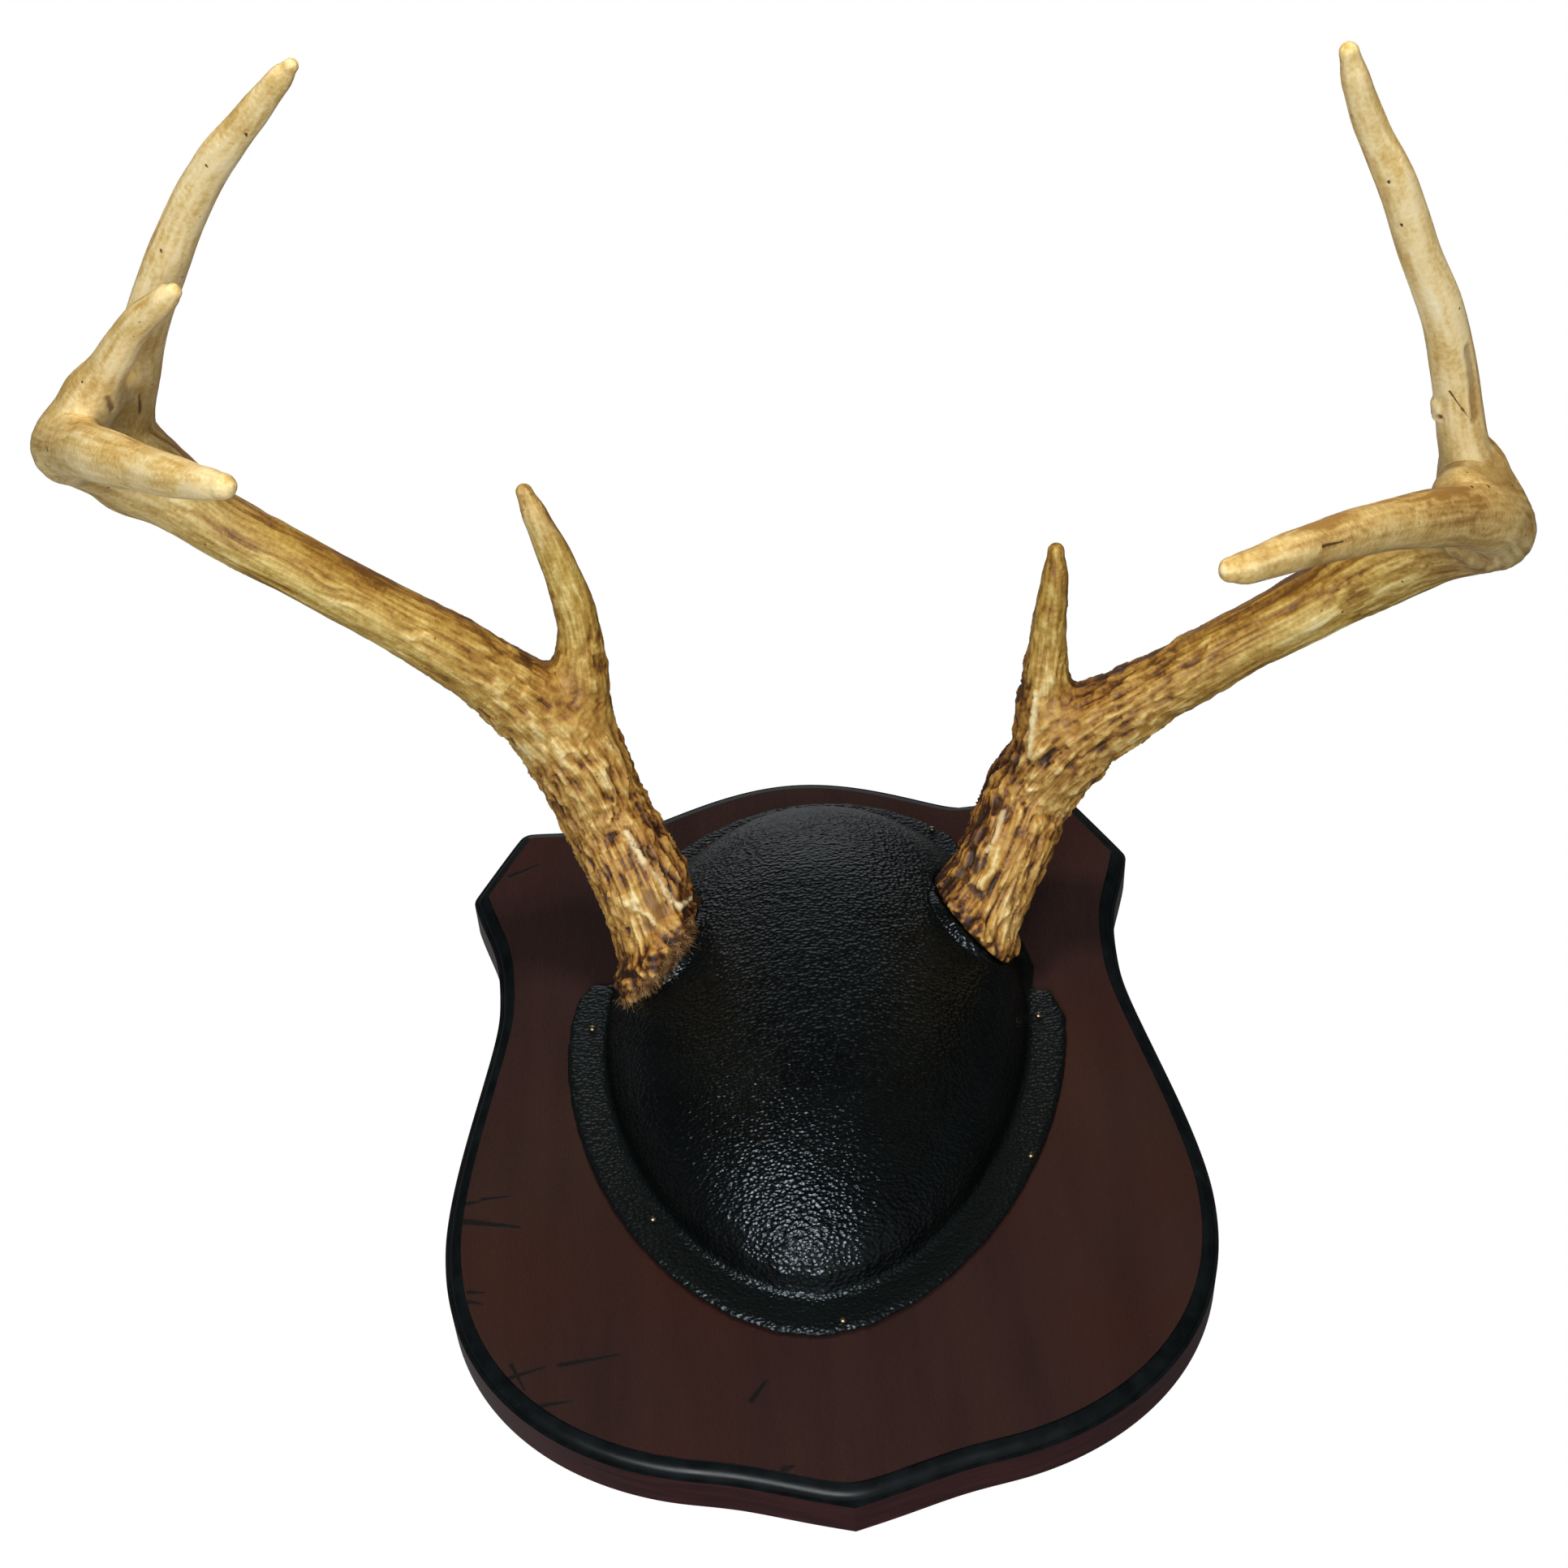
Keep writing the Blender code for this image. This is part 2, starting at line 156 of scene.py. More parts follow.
# %% Read, move and mark the points
def read(collection, field, width):
    """A field of all points of a mesh as an array."""
    flat = np.empty(len(collection) * width, np.float32)
    collection.foreach_get(field, flat)
    return flat.reshape(-1, width).astype(float)


def points_of(piece):
    """Where the points of a piece are."""
    return read(piece.data.vertices, "co", 3)


def normals_of(piece):
    """Which way the skin faces at each point."""
    return read(piece.data.vertex_normals, "vector", 3)


def move_points(piece, places):
    """Puts the points of a piece at new places."""
    piece.data.vertices.foreach_set("co", places.astype(np.float32).ravel())
    piece.data.update()


def keep_values(piece, name, values):
    """Stores a number or a vector for each point, for the materials to read."""
    kind, field = ("FLOAT", "value") if values.ndim == 1 else ("FLOAT_VECTOR", "vector")
    layer = piece.data.attributes.new(name, kind, "POINT")
    layer.data.foreach_set(field, values.astype(np.float32).ravel())


def ease(values, low, high):
    """0 below low, 1 above high, and a soft step between them."""
    t = np.clip((values - low) / (high - low), 0, 1)
    return t * t * (3 - 2 * t)


def grain(places, seed=0.0):
    """Smooth noise from -1 to 1 at each place."""
    return np.array([noise.noise(p) for p in (places + seed).tolist()])


def cells(places):
    """Distance to the middle of the nearest cell, for pearls and pits."""
    return np.array([noise.voronoi(p)[0][0] for p in places.tolist()])


print("noise at the origin", grain(np.zeros((1, 3))))

# %% [markdown]
# ## Horn paths
# An antler is a horn that tapers along a bent line, with more horns growing
# out of it. Each station says how far out, off the board and up from the burr
# a horn is, and how thick, in millimetres. The solids follow nearly the same
# stations: these are trimmed by a millimetre or two to the outline of the real
# pair. A web is a short extra horn that fills the fork where the upright tine
# leaves the beam. From the stations come the smooth skin, and for each point
# its place along and round the horn, which the furrows follow.

# %% The stations of the horns
BOARD_FACE = 19 * MM
FEET = {"antler_left": (-1, 0.050, 0.027, 0.046), "antler_right": (1, 0.058, 0.025, 0.050)}
LINES = {
    "antler_left": [
        [(0, 0, 0, 33), (6, 20, 14, 34), (16, 38, 31, 31), (24, 60, 38, 31),
         (37, 82, 42, 28), (57, 107, 42, 23), (80, 128, 43, 20.5), (103, 147, 45, 20),
         (126, 164, 49, 20.8), (143.5, 180.5, 52.5, 24), (156, 196, 45, 22), (160, 210, 33, 18),
         (144, 229, 4, 16), (118, 248, -31, 12), (103, 258, -49, 9), (96, 262, -56, 7)],
        [(22.5, 61, 40, 23.5), (24, 74, 45, 26), (20, 87, 47, 19), (19, 110, 52, 14),
         (23, 132, 55, 11.5), (28, 150, 57, 8.6), (31, 160, 59, 5.5)],
        [(150, 183, 55, 25.5), (150, 198, 59, 18), (143.5, 213, 60, 15), (134.8, 234.2, 58.2, 13.4),
         (124.8, 254.2, 57.2, 13.2), (114, 274, 55, 12), (102.6, 291.3, 51.3, 10.9), (90, 307, 46, 9),
         (79.4, 320.2, 41.3, 7.1), (74.3, 326.2, 39.2, 4.3)],
        [(160, 209, 35, 20), (152, 224, 35, 15.5), (139.5, 242.2, 29.3, 11.5), (128.7, 258.4, 23.4, 9.4),
         (118, 270, 17, 7.6), (114, 274, 15, 5)],
    ],
    "antler_right": [
        [(0, 0, 0, 33), (12, 20, 13, 32), (22, 35, 28, 30.5), (33.4, 52.7, 29.7, 29.5),
         (46, 69, 28, 27), (68.8, 88.3, 25.3, 22.8), (91.6, 106.5, 23.5, 21.4), (113, 122, 22, 22.8),
         (133, 139, 21, 29), (148, 154, 12, 26.5), (155, 168, -5, 21), (147, 187, -20, 19.5),
         (125, 207, -40, 16.8), (96, 228, -67, 13.4), (71, 243, -90, 10.8), (56, 249.6, -102.4, 8.8),
         (50, 252, -106, 6.7)],
        [(29, 59, 31, 22), (28, 70, 34, 21.5), (27.2, 82, 36, 15.6), (28.2, 104, 39, 11.5),
         (29.6, 121, 41, 9), (30, 132, 43, 5.6)],
        [(149, 175, -1, 26), (147, 188, 0, 19.5), (141.3, 202, -1, 14.3), (136, 224, 0, 13.4),
         (128.8, 248, 0, 12.5), (119.5, 269, 0, 11.5), (111, 290.2, 0.2, 10.8), (102, 308, 1, 9.1),
         (96.2, 322, 0, 7.8), (92.8, 332, 0, 5.4)],
    ],
}
WEBS = {
    "antler_left": [(152, 203, 52, 19), (149, 213, 51, 17), (147, 221, 46, 14), (147, 226, 39, 12)],
    "antler_right": [(148, 176, -4, 22), (143, 188, -10, 19), (136, 198, -20, 15)],
}
BURR_FACING = (0.76, 0.57, 0.32)


def horn_line(antler, stations, steps=6):
    """Centres and radii along one horn, in metres, on a smooth curve."""
    side, out, rise, up = FEET[antler]
    knots = np.array([(side * (out + s[0] * MM), -(BOARD_FACE + rise + s[1] * MM), up + s[2] * MM,
                       s[3] * MM / 2) for s in stations])
    slope = np.gradient(knots, axis=0)
    slope[:, 3] = 0
    rows = []
    for k in range(len(knots) - 1):
        for t in np.arange(steps) / steps:
            rows.append((2 * t ** 3 - 3 * t ** 2 + 1) * knots[k] + (t ** 3 - 2 * t ** 2 + t) * slope[k]
                        + (3 * t ** 2 - 2 * t ** 3) * knots[k + 1] + (t ** 3 - t ** 2) * slope[k + 1])
    rows = np.array(rows + [knots[-1]])
    return rows[:, :3], rows[:, 3]


def burr_of(antler):
    """The burr's foot and the way its underside faces."""
    side, out, rise, up = FEET[antler]
    facing = np.array((side * BURR_FACING[0], -BURR_FACING[1], BURR_FACING[2]))
    return np.array((side * out, -(BOARD_FACE + rise), up)), facing / np.linalg.norm(facing)


print("burrs at", {antler: burr_of(antler)[0].round(4) for antler in FEET})

# %% Measure the skin of the horns
BATCH = 20000


class Horn:
    """One horn's skin, measured at many points at once."""

    def __init__(self, antler, stations):
        """Cuts the line into short straight pieces, each with its way and a side."""
        self.centres, self.radii = horn_line(antler, stations)
        steps = np.diff(self.centres, axis=0)
        self.lengths = np.linalg.norm(steps, axis=1)
        self.ways = steps / self.lengths[:, None]
        self.starts = np.concatenate([[0], np.cumsum(self.lengths)[:-1]])
        self.total = self.lengths.sum()
        side = np.array((0.0, 0.0, 1.0))
        self.sides = []
        for way in self.ways:
            side = side - way * (side @ way)
            side /= np.linalg.norm(side)
            self.sides.append(side)
        self.sides = np.array(self.sides)

    def measure(self, places):
        """Height over the skin, place along the horn and unit vector round it."""
        height, along = np.empty(len(places)), np.empty(len(places))
        turn = np.empty((len(places), 2))
        for first in range(0, len(places), BATCH):
            part = slice(first, first + BATCH)
            p = places[part]
            offset = p[:, None, :] - self.centres[None, :-1, :]
            t = np.clip((offset * self.ways[None]).sum(2) / self.lengths[None], 0, 1)
            away = offset - (t * self.lengths[None])[:, :, None] * self.ways[None]
            gap = np.linalg.norm(away, axis=2) - (self.radii[:-1] + t * np.diff(self.radii))
            best = gap.argmin(1)
            rows = np.arange(len(p))
            height[part] = gap[rows, best]
            along[part] = self.starts[best] + t[rows, best] * self.lengths[best]
            spoke = away[rows, best]
            spoke /= np.maximum(np.linalg.norm(spoke, axis=1), 1e-9)[:, None]
            side, way = self.sides[best], self.ways[best]
            turn[part, 0] = (spoke * side).sum(1)
            turn[part, 1] = (spoke * np.cross(way, side)).sum(1)
        return height, along, turn


def soft_union(heights, blend):
    """The skin of several horns with filled crotches, and each horn's share."""
    lowest = heights.min(0)
    weights = np.exp(-(heights - lowest) / blend)
    total = weights.sum(0)
    return lowest - blend * np.log(total), weights / total


horns = {antler: [Horn(antler, stations) for stations in lines + [WEBS[antler]]]
         for antler, lines in LINES.items()}
print("horn lengths in mm", {a: [round(h.total / MM) for h in hs] for a, hs in horns.items()})

# %% [markdown]
# ## An even skin for the antlers
# The solids are swept with flat facets. Fine faces with a round skin could be
# drawn anew, but a remeshed copy keeps the burr just as it is. Beads along the
# web melt into the horns in the remesh. Three rounds then pull each point onto
# the skin of the stations, and only the burr is left as the solid has it.

# %% Remesh the antlers and pull them onto their skin
HORN_VOXEL = 0.83 * MM
CROTCH_BLEND = 2.8 * MM
BURR_KEPT = (7 * MM, 17 * MM)
BEAD_STEP = 3


def fill_web(piece, horn):
    """Beads along a web, which the remesh melts into the horns beside it."""
    bm = bmesh.new()
    bm.from_mesh(piece.data)
    for centre, radius in zip(horn.centres[::BEAD_STEP], horn.radii[::BEAD_STEP]):
        bmesh.ops.create_icosphere(bm, subdivisions=3, radius=radius, matrix=Matrix.Translation(centre))
    bm.to_mesh(piece.data)
    bm.free()


def even_antler(antler):
    """A fine copy of an antler's solid, pulled onto the skin of its horns."""
    piece = welded_copy(antler, antler + "_bone")
    fill_web(piece, horns[antler][-1])
    remesh(piece, HORN_VOXEL)
    smooth(piece, 4)
    foot, facing = burr_of(antler)
    for _ in range(3):
        places = points_of(piece)
        heights = np.array([horn.measure(places)[0] for horn in horns[antler]])
        skin, _ = soft_union(heights, CROTCH_BLEND)
        pull = ease((places - foot) @ facing, *BURR_KEPT)
        move_points(piece, places - normals_of(piece) * (skin * pull)[:, None])
    smooth(piece, 1)
    print(piece.name, len(piece.data.vertices), "points")
    return piece


bones = {antler: even_antler(antler) for antler in LINES}

# %% [markdown]
# ## Furrows and pearls
# Deer antler is bone. Near the burr it is furrowed where blood vessels ran,
# with pearls crowded round the burr. Higher up the furrows turn shallow, and
# the tines are worn smooth. The furrows could be only colour, but the edges of
# the lower beam show them, so they are real relief. They come from noise that
# is stretched along the horn once its skin is unrolled. Lumps and grooves fill
# the lower beam, and calm streaks take their place further out.

# %% Furrows on an unrolled horn
FAR_FROM_BURR = (0.10, 0.19)
TINE_OFFSETS = (0, 0.075, 0.15, 0.15, 0.15)
BEAM_RELIEF = ([0, 0.05, 0.09, 0.13, 0.18, 0.24, 0.30], [1.15, 1.15, 0.95, 0.6, 0.34, 0.2, 0.1, 0.06])
BROW_RELIEF = ([0, 0.03, 0.06, 0.09], [0.85, 0.6, 0.28, 0.12, 0.05])
TINE_RELIEF = ([0, 0.03], [0.2, 0.1, 0.05])


def furrow_depth(number, along, total):
    """How strong the relief is along a horn, in metres. The last depth is the tip's."""
    places, depths = (BEAM_RELIEF, BROW_RELIEF, TINE_RELIEF)[min(number, 2)]
    return np.interp(along, places + [total], np.array(depths) * MM)


def furrows(flat, along):
    """Furrows and ridges from -1 to 1 at places unrolled from a horn, in mm."""
    bend = grain(flat / (11, 11, 17)) * 2.4
    bend_2 = grain(flat / (4, 4, 7), 19.0) * 0.7
    wavy = flat + (bend + bend_2)[:, None] * (1, -1, 0)
    gate = ease(grain(wavy / (8, 8, 26), 43.0), -0.35, 0.15)
    groove = np.exp(-(grain(wavy / (3.4, 3.4, 21)) / 0.13) ** 2) * gate
    lump = grain(wavy / (2.5, 2.5, 5.2), 31.0)
    crest = np.exp(-(grain(wavy / (4.4, 4.4, 15), 77.0) / 0.07) ** 2)
    small = grain(wavy / (1.4, 1.4, 3.6), 57.0)
    rough = 1.25 * lump - 1.0 * groove + 0.55 * crest + 0.45 * small
    line = np.exp(-(grain(wavy / (2.6, 2.6, 46), 91.0) / 0.14) ** 2)
    streak = grain(wavy / (1.7, 1.7, 30), 63.0)
    calm = 1.5 * streak - 0.8 * line * gate + 0.5 * grain(wavy / (1.3, 1.3, 9), 15.0)
    far = ease(along, *FAR_FROM_BURR)
    return np.clip(rough * (1 - far) + calm * far, -1.4, 1.2)


print("relief of up to", max(BEAM_RELIEF[1]), "mm")

# %% [markdown]
# ## From young bone to old
# The tips of an antler are pale and the foot is dark, so each point needs its
# age: 0 at the burr, 1 on a tine. It could be painted, but here it follows the
# distance along each horn. Where two horns meet, the point takes a share of
# each. The unrolled place is kept as well, for the streaks of the finish.

# %% Mix the horns at each point
WEB = 4
ANTLER_SEED = {"antler_left": 3.7, "antler_right": 11.3}
AGE_ALONG = {
    0: ([0, 0.08, 0.14, 0.20, 0.25, 0.30, 0.36], [0.0, 0.08, 0.34, 0.48, 0.66, 0.84, 1.0]),
    1: ([0, 0.03, 0.08, 0.11], [0.18, 0.3, 0.5, 0.85]),
    2: ([0, 0.03, 0.07], [0.65, 0.85, 1.0]),
    3: ([0, 0.02, 0.05], [0.65, 0.85, 1.0]),
    WEB: ([0, 0.03], [0.75, 0.9]),
}
TINE_START = (5 * MM, 24 * MM)


def horn_shares(measured):
    """Each horn's share of each point. A tine takes over a little way out."""
    _, shares = soft_union(np.array([m[0] for m in measured]), 2 * CROTCH_BLEND)
    for number in range(1, len(shares)):
        shares[number] *= ease(measured[number][1], *TINE_START)
    return shares / shares.sum(0)


def mix_horns(antler, measured, shares):
    """Relief in metres, tone, age and unrolled place in mm of each point."""
    count = shares.shape[1]
    relief, level, age = np.zeros(count), np.zeros(count), np.zeros(count)
    course = np.zeros((count, 3))
    numbers = list(range(len(LINES[antler]))) + [WEB]
    for number, horn, share, (_, along, turn) in zip(numbers, horns[antler], shares, measured):
        radius = np.interp(along, np.append(horn.starts, horn.total), horn.radii)
        unrolled = (np.column_stack([turn * radius[:, None], along]) / MM
                    + ANTLER_SEED[antler] * (7 + 5 * number))
        course = np.where((share == shares.max(0))[:, None], unrolled, course)
        near = np.nonzero(share > 0.01)[0]
        form = furrows(unrolled[near], along[near] + TINE_OFFSETS[number])
        relief[near] += share[near] * form * furrow_depth(number, along[near], horn.total)
        level[near] += share[near] * form
        age[near] += share[near] * np.interp(along[near], *AGE_ALONG[number])
    return relief, level, age, course


print("ages for", len(AGE_ALONG), "kinds of horn")

# %% [markdown]
# ## Carve the antlers
# The burr is a ring of pearls where the antler left the skull, and the two
# burrs differ: the left one flares and is pearled high up, the right one is
# slim. Pearls are the cells of a noise. The whole relief is pushed along the
# normals at once, and what the finish needs is kept on the points: the tone of
# the furrows, the age, how far the skin faces up, and the unrolled place with
# a mask that is 1 where a single horn rules.

# %% Cut the relief and keep its values
PEARL_SIZE = 2.3 * MM
BURR_PEARLS = {"antler_left": (4 * MM, 15 * MM), "antler_right": (1 * MM, 8 * MM)}
BURR_SIDE = {"antler_left": (-0.80, 0.0, -0.60), "antler_right": (0.80, 0.0, -0.60)}
BURR_SHAPE = {
    "antler_left": ((0, 6, 12, 18, 32, 50), (3.4, 3.2, -1.5, -2.4, -2.0, 0)),
    "antler_right": ((0, 6, 30, 50), (-1.6, -2.4, -2.2, 0)),
}
FOOT_TONE = {"antler_left": 0.0, "antler_right": -0.15}
# Painted shade: the end of the right beam is made darker, where the lamps light it strongly.
PAINTED_END_SHADE = {"antler_left": 0.0, "antler_right": -1.3}
END_OF_BEAM = (0.24, 0.32)


def pearls(antler, places, over_burr, facing):
    """Where pearls crowd the burr, and how high each one stands, from 0 to 1."""
    seed = ANTLER_SEED[antler]
    pearly = 1 - ease(over_burr + 2 * MM * grain(places / (6 * MM), seed), *BURR_PEARLS[antler])
    bead_place = (places - np.outer(over_burr, facing) * 0.45) / PEARL_SIZE + seed
    shift = np.column_stack([grain(bead_place * 0.6, k) for k in (0.0, 9.0, 17.0)])
    return pearly, np.clip(1.25 - cells(bead_place + 0.5 * shift) * 1.9, 0, 1)


def carve(antler):
    """Relief, pearls and a swollen burr on an antler, and its values for the finish."""
    piece = bones[antler]
    places, outward = points_of(piece), normals_of(piece)
    foot, facing = burr_of(antler)
    over_burr = (places - foot) @ facing
    measured = [horn.measure(places) for horn in horns[antler]]
    shares = horn_shares(measured)
    relief, level, age, course = mix_horns(antler, measured, shares)
    pearly, pearl = pearls(antler, places, over_burr, facing)
    relief = relief * (1 - 0.6 * pearly) + pearly * (pearl * 1.5 - 0.75) * MM
    level = level * (1 - 0.7 * pearly) + pearly * (pearl * 2.3 - 1.75)
    swelling = np.interp(over_burr / MM, *BURR_SHAPE[antler])
    swell = np.clip(outward @ np.array(BURR_SIDE[antler]), 0, 1) * swelling * MM
    shown = ease(over_burr, 0.2 * MM, 1.6 * MM)
    move_points(piece, places + outward * (relief * shown + swell * shown)[:, None])
    level += FOOT_TONE[antler] * (1 - ease(age, 0.35, 0.8))
    # Painted shade at the end of the right beam.
    level += PAINTED_END_SHADE[antler] * shares[0] * ease(measured[0][1], *END_OF_BEAM)
    keep_values(piece, "level", level)
    keep_values(piece, "age", age * (1 - pearly))
    # How far the skin faces up, read by the bone's painted shade.
    keep_values(piece, "upper", outward[:, 2])
    keep_values(piece, "course", course)
    keep_values(piece, "one_horn", ease(shares.max(0), 0.6, 0.95) * (1 - pearly))
    piece.data.shade_smooth()
    print(piece.name, len(piece.data.polygons) * 2, "triangles, relief from",
          round(relief.min() / MM, 2), "to", round(relief.max() / MM, 2), "mm")


for antler in bones:
    carve(antler)

# %% [markdown]
# ## Marks of this pair of antlers
# Some marks belong to these two antlers alone: a bony thread that crosses a
# dark furrow, deep pits, a flake lost from a tine. Each is drawn as a short
# line of picture points. Rays from the eye carry the points onto the bone, and
# the bone near the line is raised or sunk and stained. After its points each
# mark says its width and height in millimetres and its stain: -1 is dark and 1
# is ivory.

# %% The marks and their points
SIGHT_NEAR, SIGHT_FAR, SIGHT_STEP = 0.5, 1.1, 0.004
MARKS = {
    "antler_left": (
        (((800, 1105), (812, 1125), (800, 1140)), 3.2, -0.3, -0.5),
        (((786, 990), (800, 1015), (822, 1050)), 1.3, -0.8, -1.0),
        (((800, 1050), (820, 1075), (842, 1095)), 1.8, -0.9, -1.0),
        (((840, 1095), (857, 1118)), 1.8, -0.6, -0.9),
        (((772, 1026), (789, 1057), (812, 1088), (828, 1111)), 1.5, 1.0, 1.0),
        (((828, 1110), (838, 1117), (850, 1108)), 1.2, 0.8, 1.0),
        (((782, 1120), (800, 1128), (806, 1138)), 1.1, 0.8, 0.8),
        (((755, 985),), 1.5, -0.9, -1.0),
        (((133, 490), (138, 505)), 1.2, -0.3, -0.5), (((172, 488), (173, 508)), 0.8, -0.3, -0.6),
        (((205, 535), (232, 562)), 4.0, 0.0, -0.35),
    ),
    "antler_right": (
        (((1254, 936), (1246, 950)), 2.0, -0.9, -1.0), (((1228, 985), (1224, 1000)), 2.0, -0.9, -1.0),
        (((1212, 1022), (1206, 1036)), 2.2, -0.9, -1.0), (((1203, 1060), (1200, 1072)), 2.0, -0.8, -1.0),
        (((1188, 1080), (1200, 1096), (1212, 1106)), 2.0, -0.8, -0.9),
        (((1277, 855), (1273, 890), (1269, 932)), 1.3, 1.0, 1.0),
        (((1236, 1000), (1228, 1030), (1216, 1048)), 1.2, 0.9, 0.7),
        (((1808, 430), (1815, 470), (1818, 515)), 1.9, -0.5, -0.35),
        (((1769, 500), (1770, 509)), 3.2, 1.2, 0.0), (((1775, 514),), 1.1, -1.0, -1.0),
        (((1506, 702),), 1.5, 0.0, 1.0),
    ),
}


def on_bone(tree, x, y):
    """The point of the bone on a line of sight, or the nearest one beside it."""
    way = ray_through(x, y)
    found, _, _, _ = tree.ray_cast(EYE, way)
    if found is None:
        reaches = np.arange(SIGHT_NEAR, SIGHT_FAR, SIGHT_STEP)
        beside = [tree.find_nearest(EYE + way * reach) for reach in reaches]
        found = min(beside, key=lambda hit: hit[3])[0]
        print("mark beside the bone at", x, y)
    return np.array(found)


def bone_tree(piece):
    """The faces of a piece, sorted so that a ray finds them fast."""
    mesh = piece.data
    corners = [tuple(face.vertices) for face in mesh.polygons]
    return BVHTree.FromPolygons([v.co for v in mesh.vertices], corners)


def distance_to_line(places, line):
    """How far each place is from a bent line."""
    if len(line) == 1:
        return np.linalg.norm(places - line[0], axis=1)
    gaps = []
    for start, end in zip(line, line[1:]):
        span = end - start
        share = np.clip((places - start) @ span / (span @ span), 0, 1)
        gaps.append(np.linalg.norm(places - start - share[:, None] * span, axis=1))
    return np.min(gaps, axis=0)


print("marks", {antler: len(marks) for antler, marks in MARKS.items()})

# %% Raise, sink and stain the marks
EDGE_LENGTH, EDGE_DEPTH = 2.2 * MM, 0.45 * MM
CORE, RIM = 0.4, 1.1


def add_marks(antler):
    """Raises or sinks the bone along each mark and keeps its stain."""
    piece = bones[antler]
    tree = bone_tree(piece)
    places, outward = points_of(piece), normals_of(piece)
    uneven = grain(places / EDGE_LENGTH, 23.0) * EDGE_DEPTH
    lift, stain = np.zeros(len(places)), np.zeros(len(places))
    for line, width, height, colour in MARKS[antler]:
        gap = distance_to_line(places, [on_bone(tree, x, y) for x, y in line]) + uneven
        strength = 1 - ease(gap, CORE * width * MM, RIM * width * MM)
        lift = lift * (1 - strength) + strength * height * MM
        stain = stain * (1 - strength) + strength * colour
    move_points(piece, places + outward * lift[:, None])
    keep_values(piece, "stain", stain)
    return tree


bone_trees = {antler: add_marks(antler) for antler in MARKS}
print("marked", sorted(bone_trees))

# %% [markdown]
# ## The board's form
# The shield is cut from one plank and its edge is shaped with a router: a
# small flat, a rounded edge and a little step up to the face. The solid has
# this profile already, drawn with straight facets. A subdivision surface
# rounds the outline, and creases keep the profile's own edges sharp.

# %% Round the board's outline
SIDE_DEPTH = 15.1 * MM
PROFILE_CREASE = math.radians(40)
POINT_CREASE = math.radians(14)
CORNER_EDGE = 2 * MM
EAR_ZONE = 0.085
SAME_DEPTH = 0.05 * MM
BACK, SIDE, MOULDING, FACE = range(4)


def board_zone(face):
    """Which finish a face of the board has."""
    depth = -face.calc_center_median().y
    if face.normal.y > 0.9:
        return BACK
    if depth > BOARD_FACE - SAME_DEPTH:
        return FACE
    return SIDE if depth < SIDE_DEPTH - SAME_DEPTH else MOULDING


def make_board():
    """The board with a smooth outline and a finish for each zone."""
    bm = bmesh.new()
    bm.from_mesh(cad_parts["plaque"].data)
    bmesh.ops.remove_doubles(bm, verts=bm.verts, dist=WELD)
    bmesh.ops.dissolve_limit(bm, angle_limit=math.radians(0.3), verts=bm.verts, edges=bm.edges)
    crease = bm.edges.layers.float.new("crease_edge")
    for edge in bm.edges:
        if len(edge.link_faces) != 2:
            continue
        turn = edge.calc_face_angle(0)
        start, end = (point.co for point in edge.verts)
        middle = (start + end) / 2
        in_ear = abs(middle.x) > EAR_ZONE and middle.z > EAR_ZONE
        at_corner = abs(start.y - end.y) > CORNER_EDGE and not in_ear
        if turn > PROFILE_CREASE or (turn > POINT_CREASE and at_corner):
            edge[crease] = 1
            edge.smooth = False
    bmesh.ops.triangulate(bm, faces=[face for face in bm.faces if len(face.verts) > 4])
    for face in bm.faces:
        face.material_index = board_zone(face)
        face.smooth = face.material_index in (SIDE, MOULDING)
    board = as_object(bm, "shield_board")
    round_off = board.modifiers.new("round the outline", "SUBSURF")
    round_off.levels = 2
    round_off.render_levels = 2
    print("board faces before rounding", len(board.data.polygons))
    return board


board = make_board()

# %% [markdown]
# ## The leather cover
# One skin of leather is pulled over the skull plate while damp, and its rim
# is nailed flat. It clings to the foot of each antler. The solid gives the
# dome, the flange and the two bosses. Smoothing melts them into one skin, but
# it leaves the dome's facets, so the top is also set to the plain round form
# that the dome's outline gives.

# %% The plain round form of the dome
FLANGE_TOP = 2.9 * MM
DOME_RISE = 45 * MM
DOME_PEAK = np.array((4.0, 55.0)) * MM
DOME_MIDDLE = 26 * MM
DOME_HALF_WIDTH, DOME_ABOVE, DOME_BELOW = 73.3 * MM, 97 * MM, 108 * MM
DOME_LEAN, DOME_SHIFT = 0.05, 1 * MM
RING_STEPS = 721


def dome_foot(angles):
    """Where the dome meets the flange, as x and z, at each angle."""
    across, along = np.cos(angles), np.sin(angles)
    tall = np.where(along > 0, DOME_ABOVE, DOME_BELOW)
    power = np.where(along > 0, 2.0, 1.8)
    reach = ((np.abs(across) / DOME_HALF_WIDTH) ** power + (np.abs(along) / tall) ** power) ** (-1 / power)
    return np.column_stack([across * reach + DOME_LEAN * along * reach + DOME_SHIFT,
                            DOME_MIDDLE + along * reach])


def dome_rise(places):
    """Height of the plain dome over the board's face, and the share of the way to its peak."""
    ring = dome_foot(np.linspace(-math.pi, math.pi, RING_STEPS)) - DOME_PEAK
    ring_angle = np.arctan2(ring[:, 1], ring[:, 0])
    order = np.argsort(ring_angle)
    spoke = places[:, (0, 2)] - DOME_PEAK
    reach = np.interp(np.arctan2(spoke[:, 1], spoke[:, 0]), ring_angle[order],
                      np.linalg.norm(ring, axis=1)[order], period=2 * math.pi)
    share = np.linalg.norm(spoke, axis=1) / reach
    rise = FLANGE_TOP + (DOME_RISE - FLANGE_TOP) * np.sqrt(np.clip(1 - share ** 2, 0, 1))
    return rise, share


print("dome", DOME_RISE / MM, "mm high")

# %% Draw the leather over the dome
LEATHER_VOXEL = 1.0 * MM
BOSS_REACH = 40 * MM
BOSS_MELT = (16 * MM, 24 * MM)


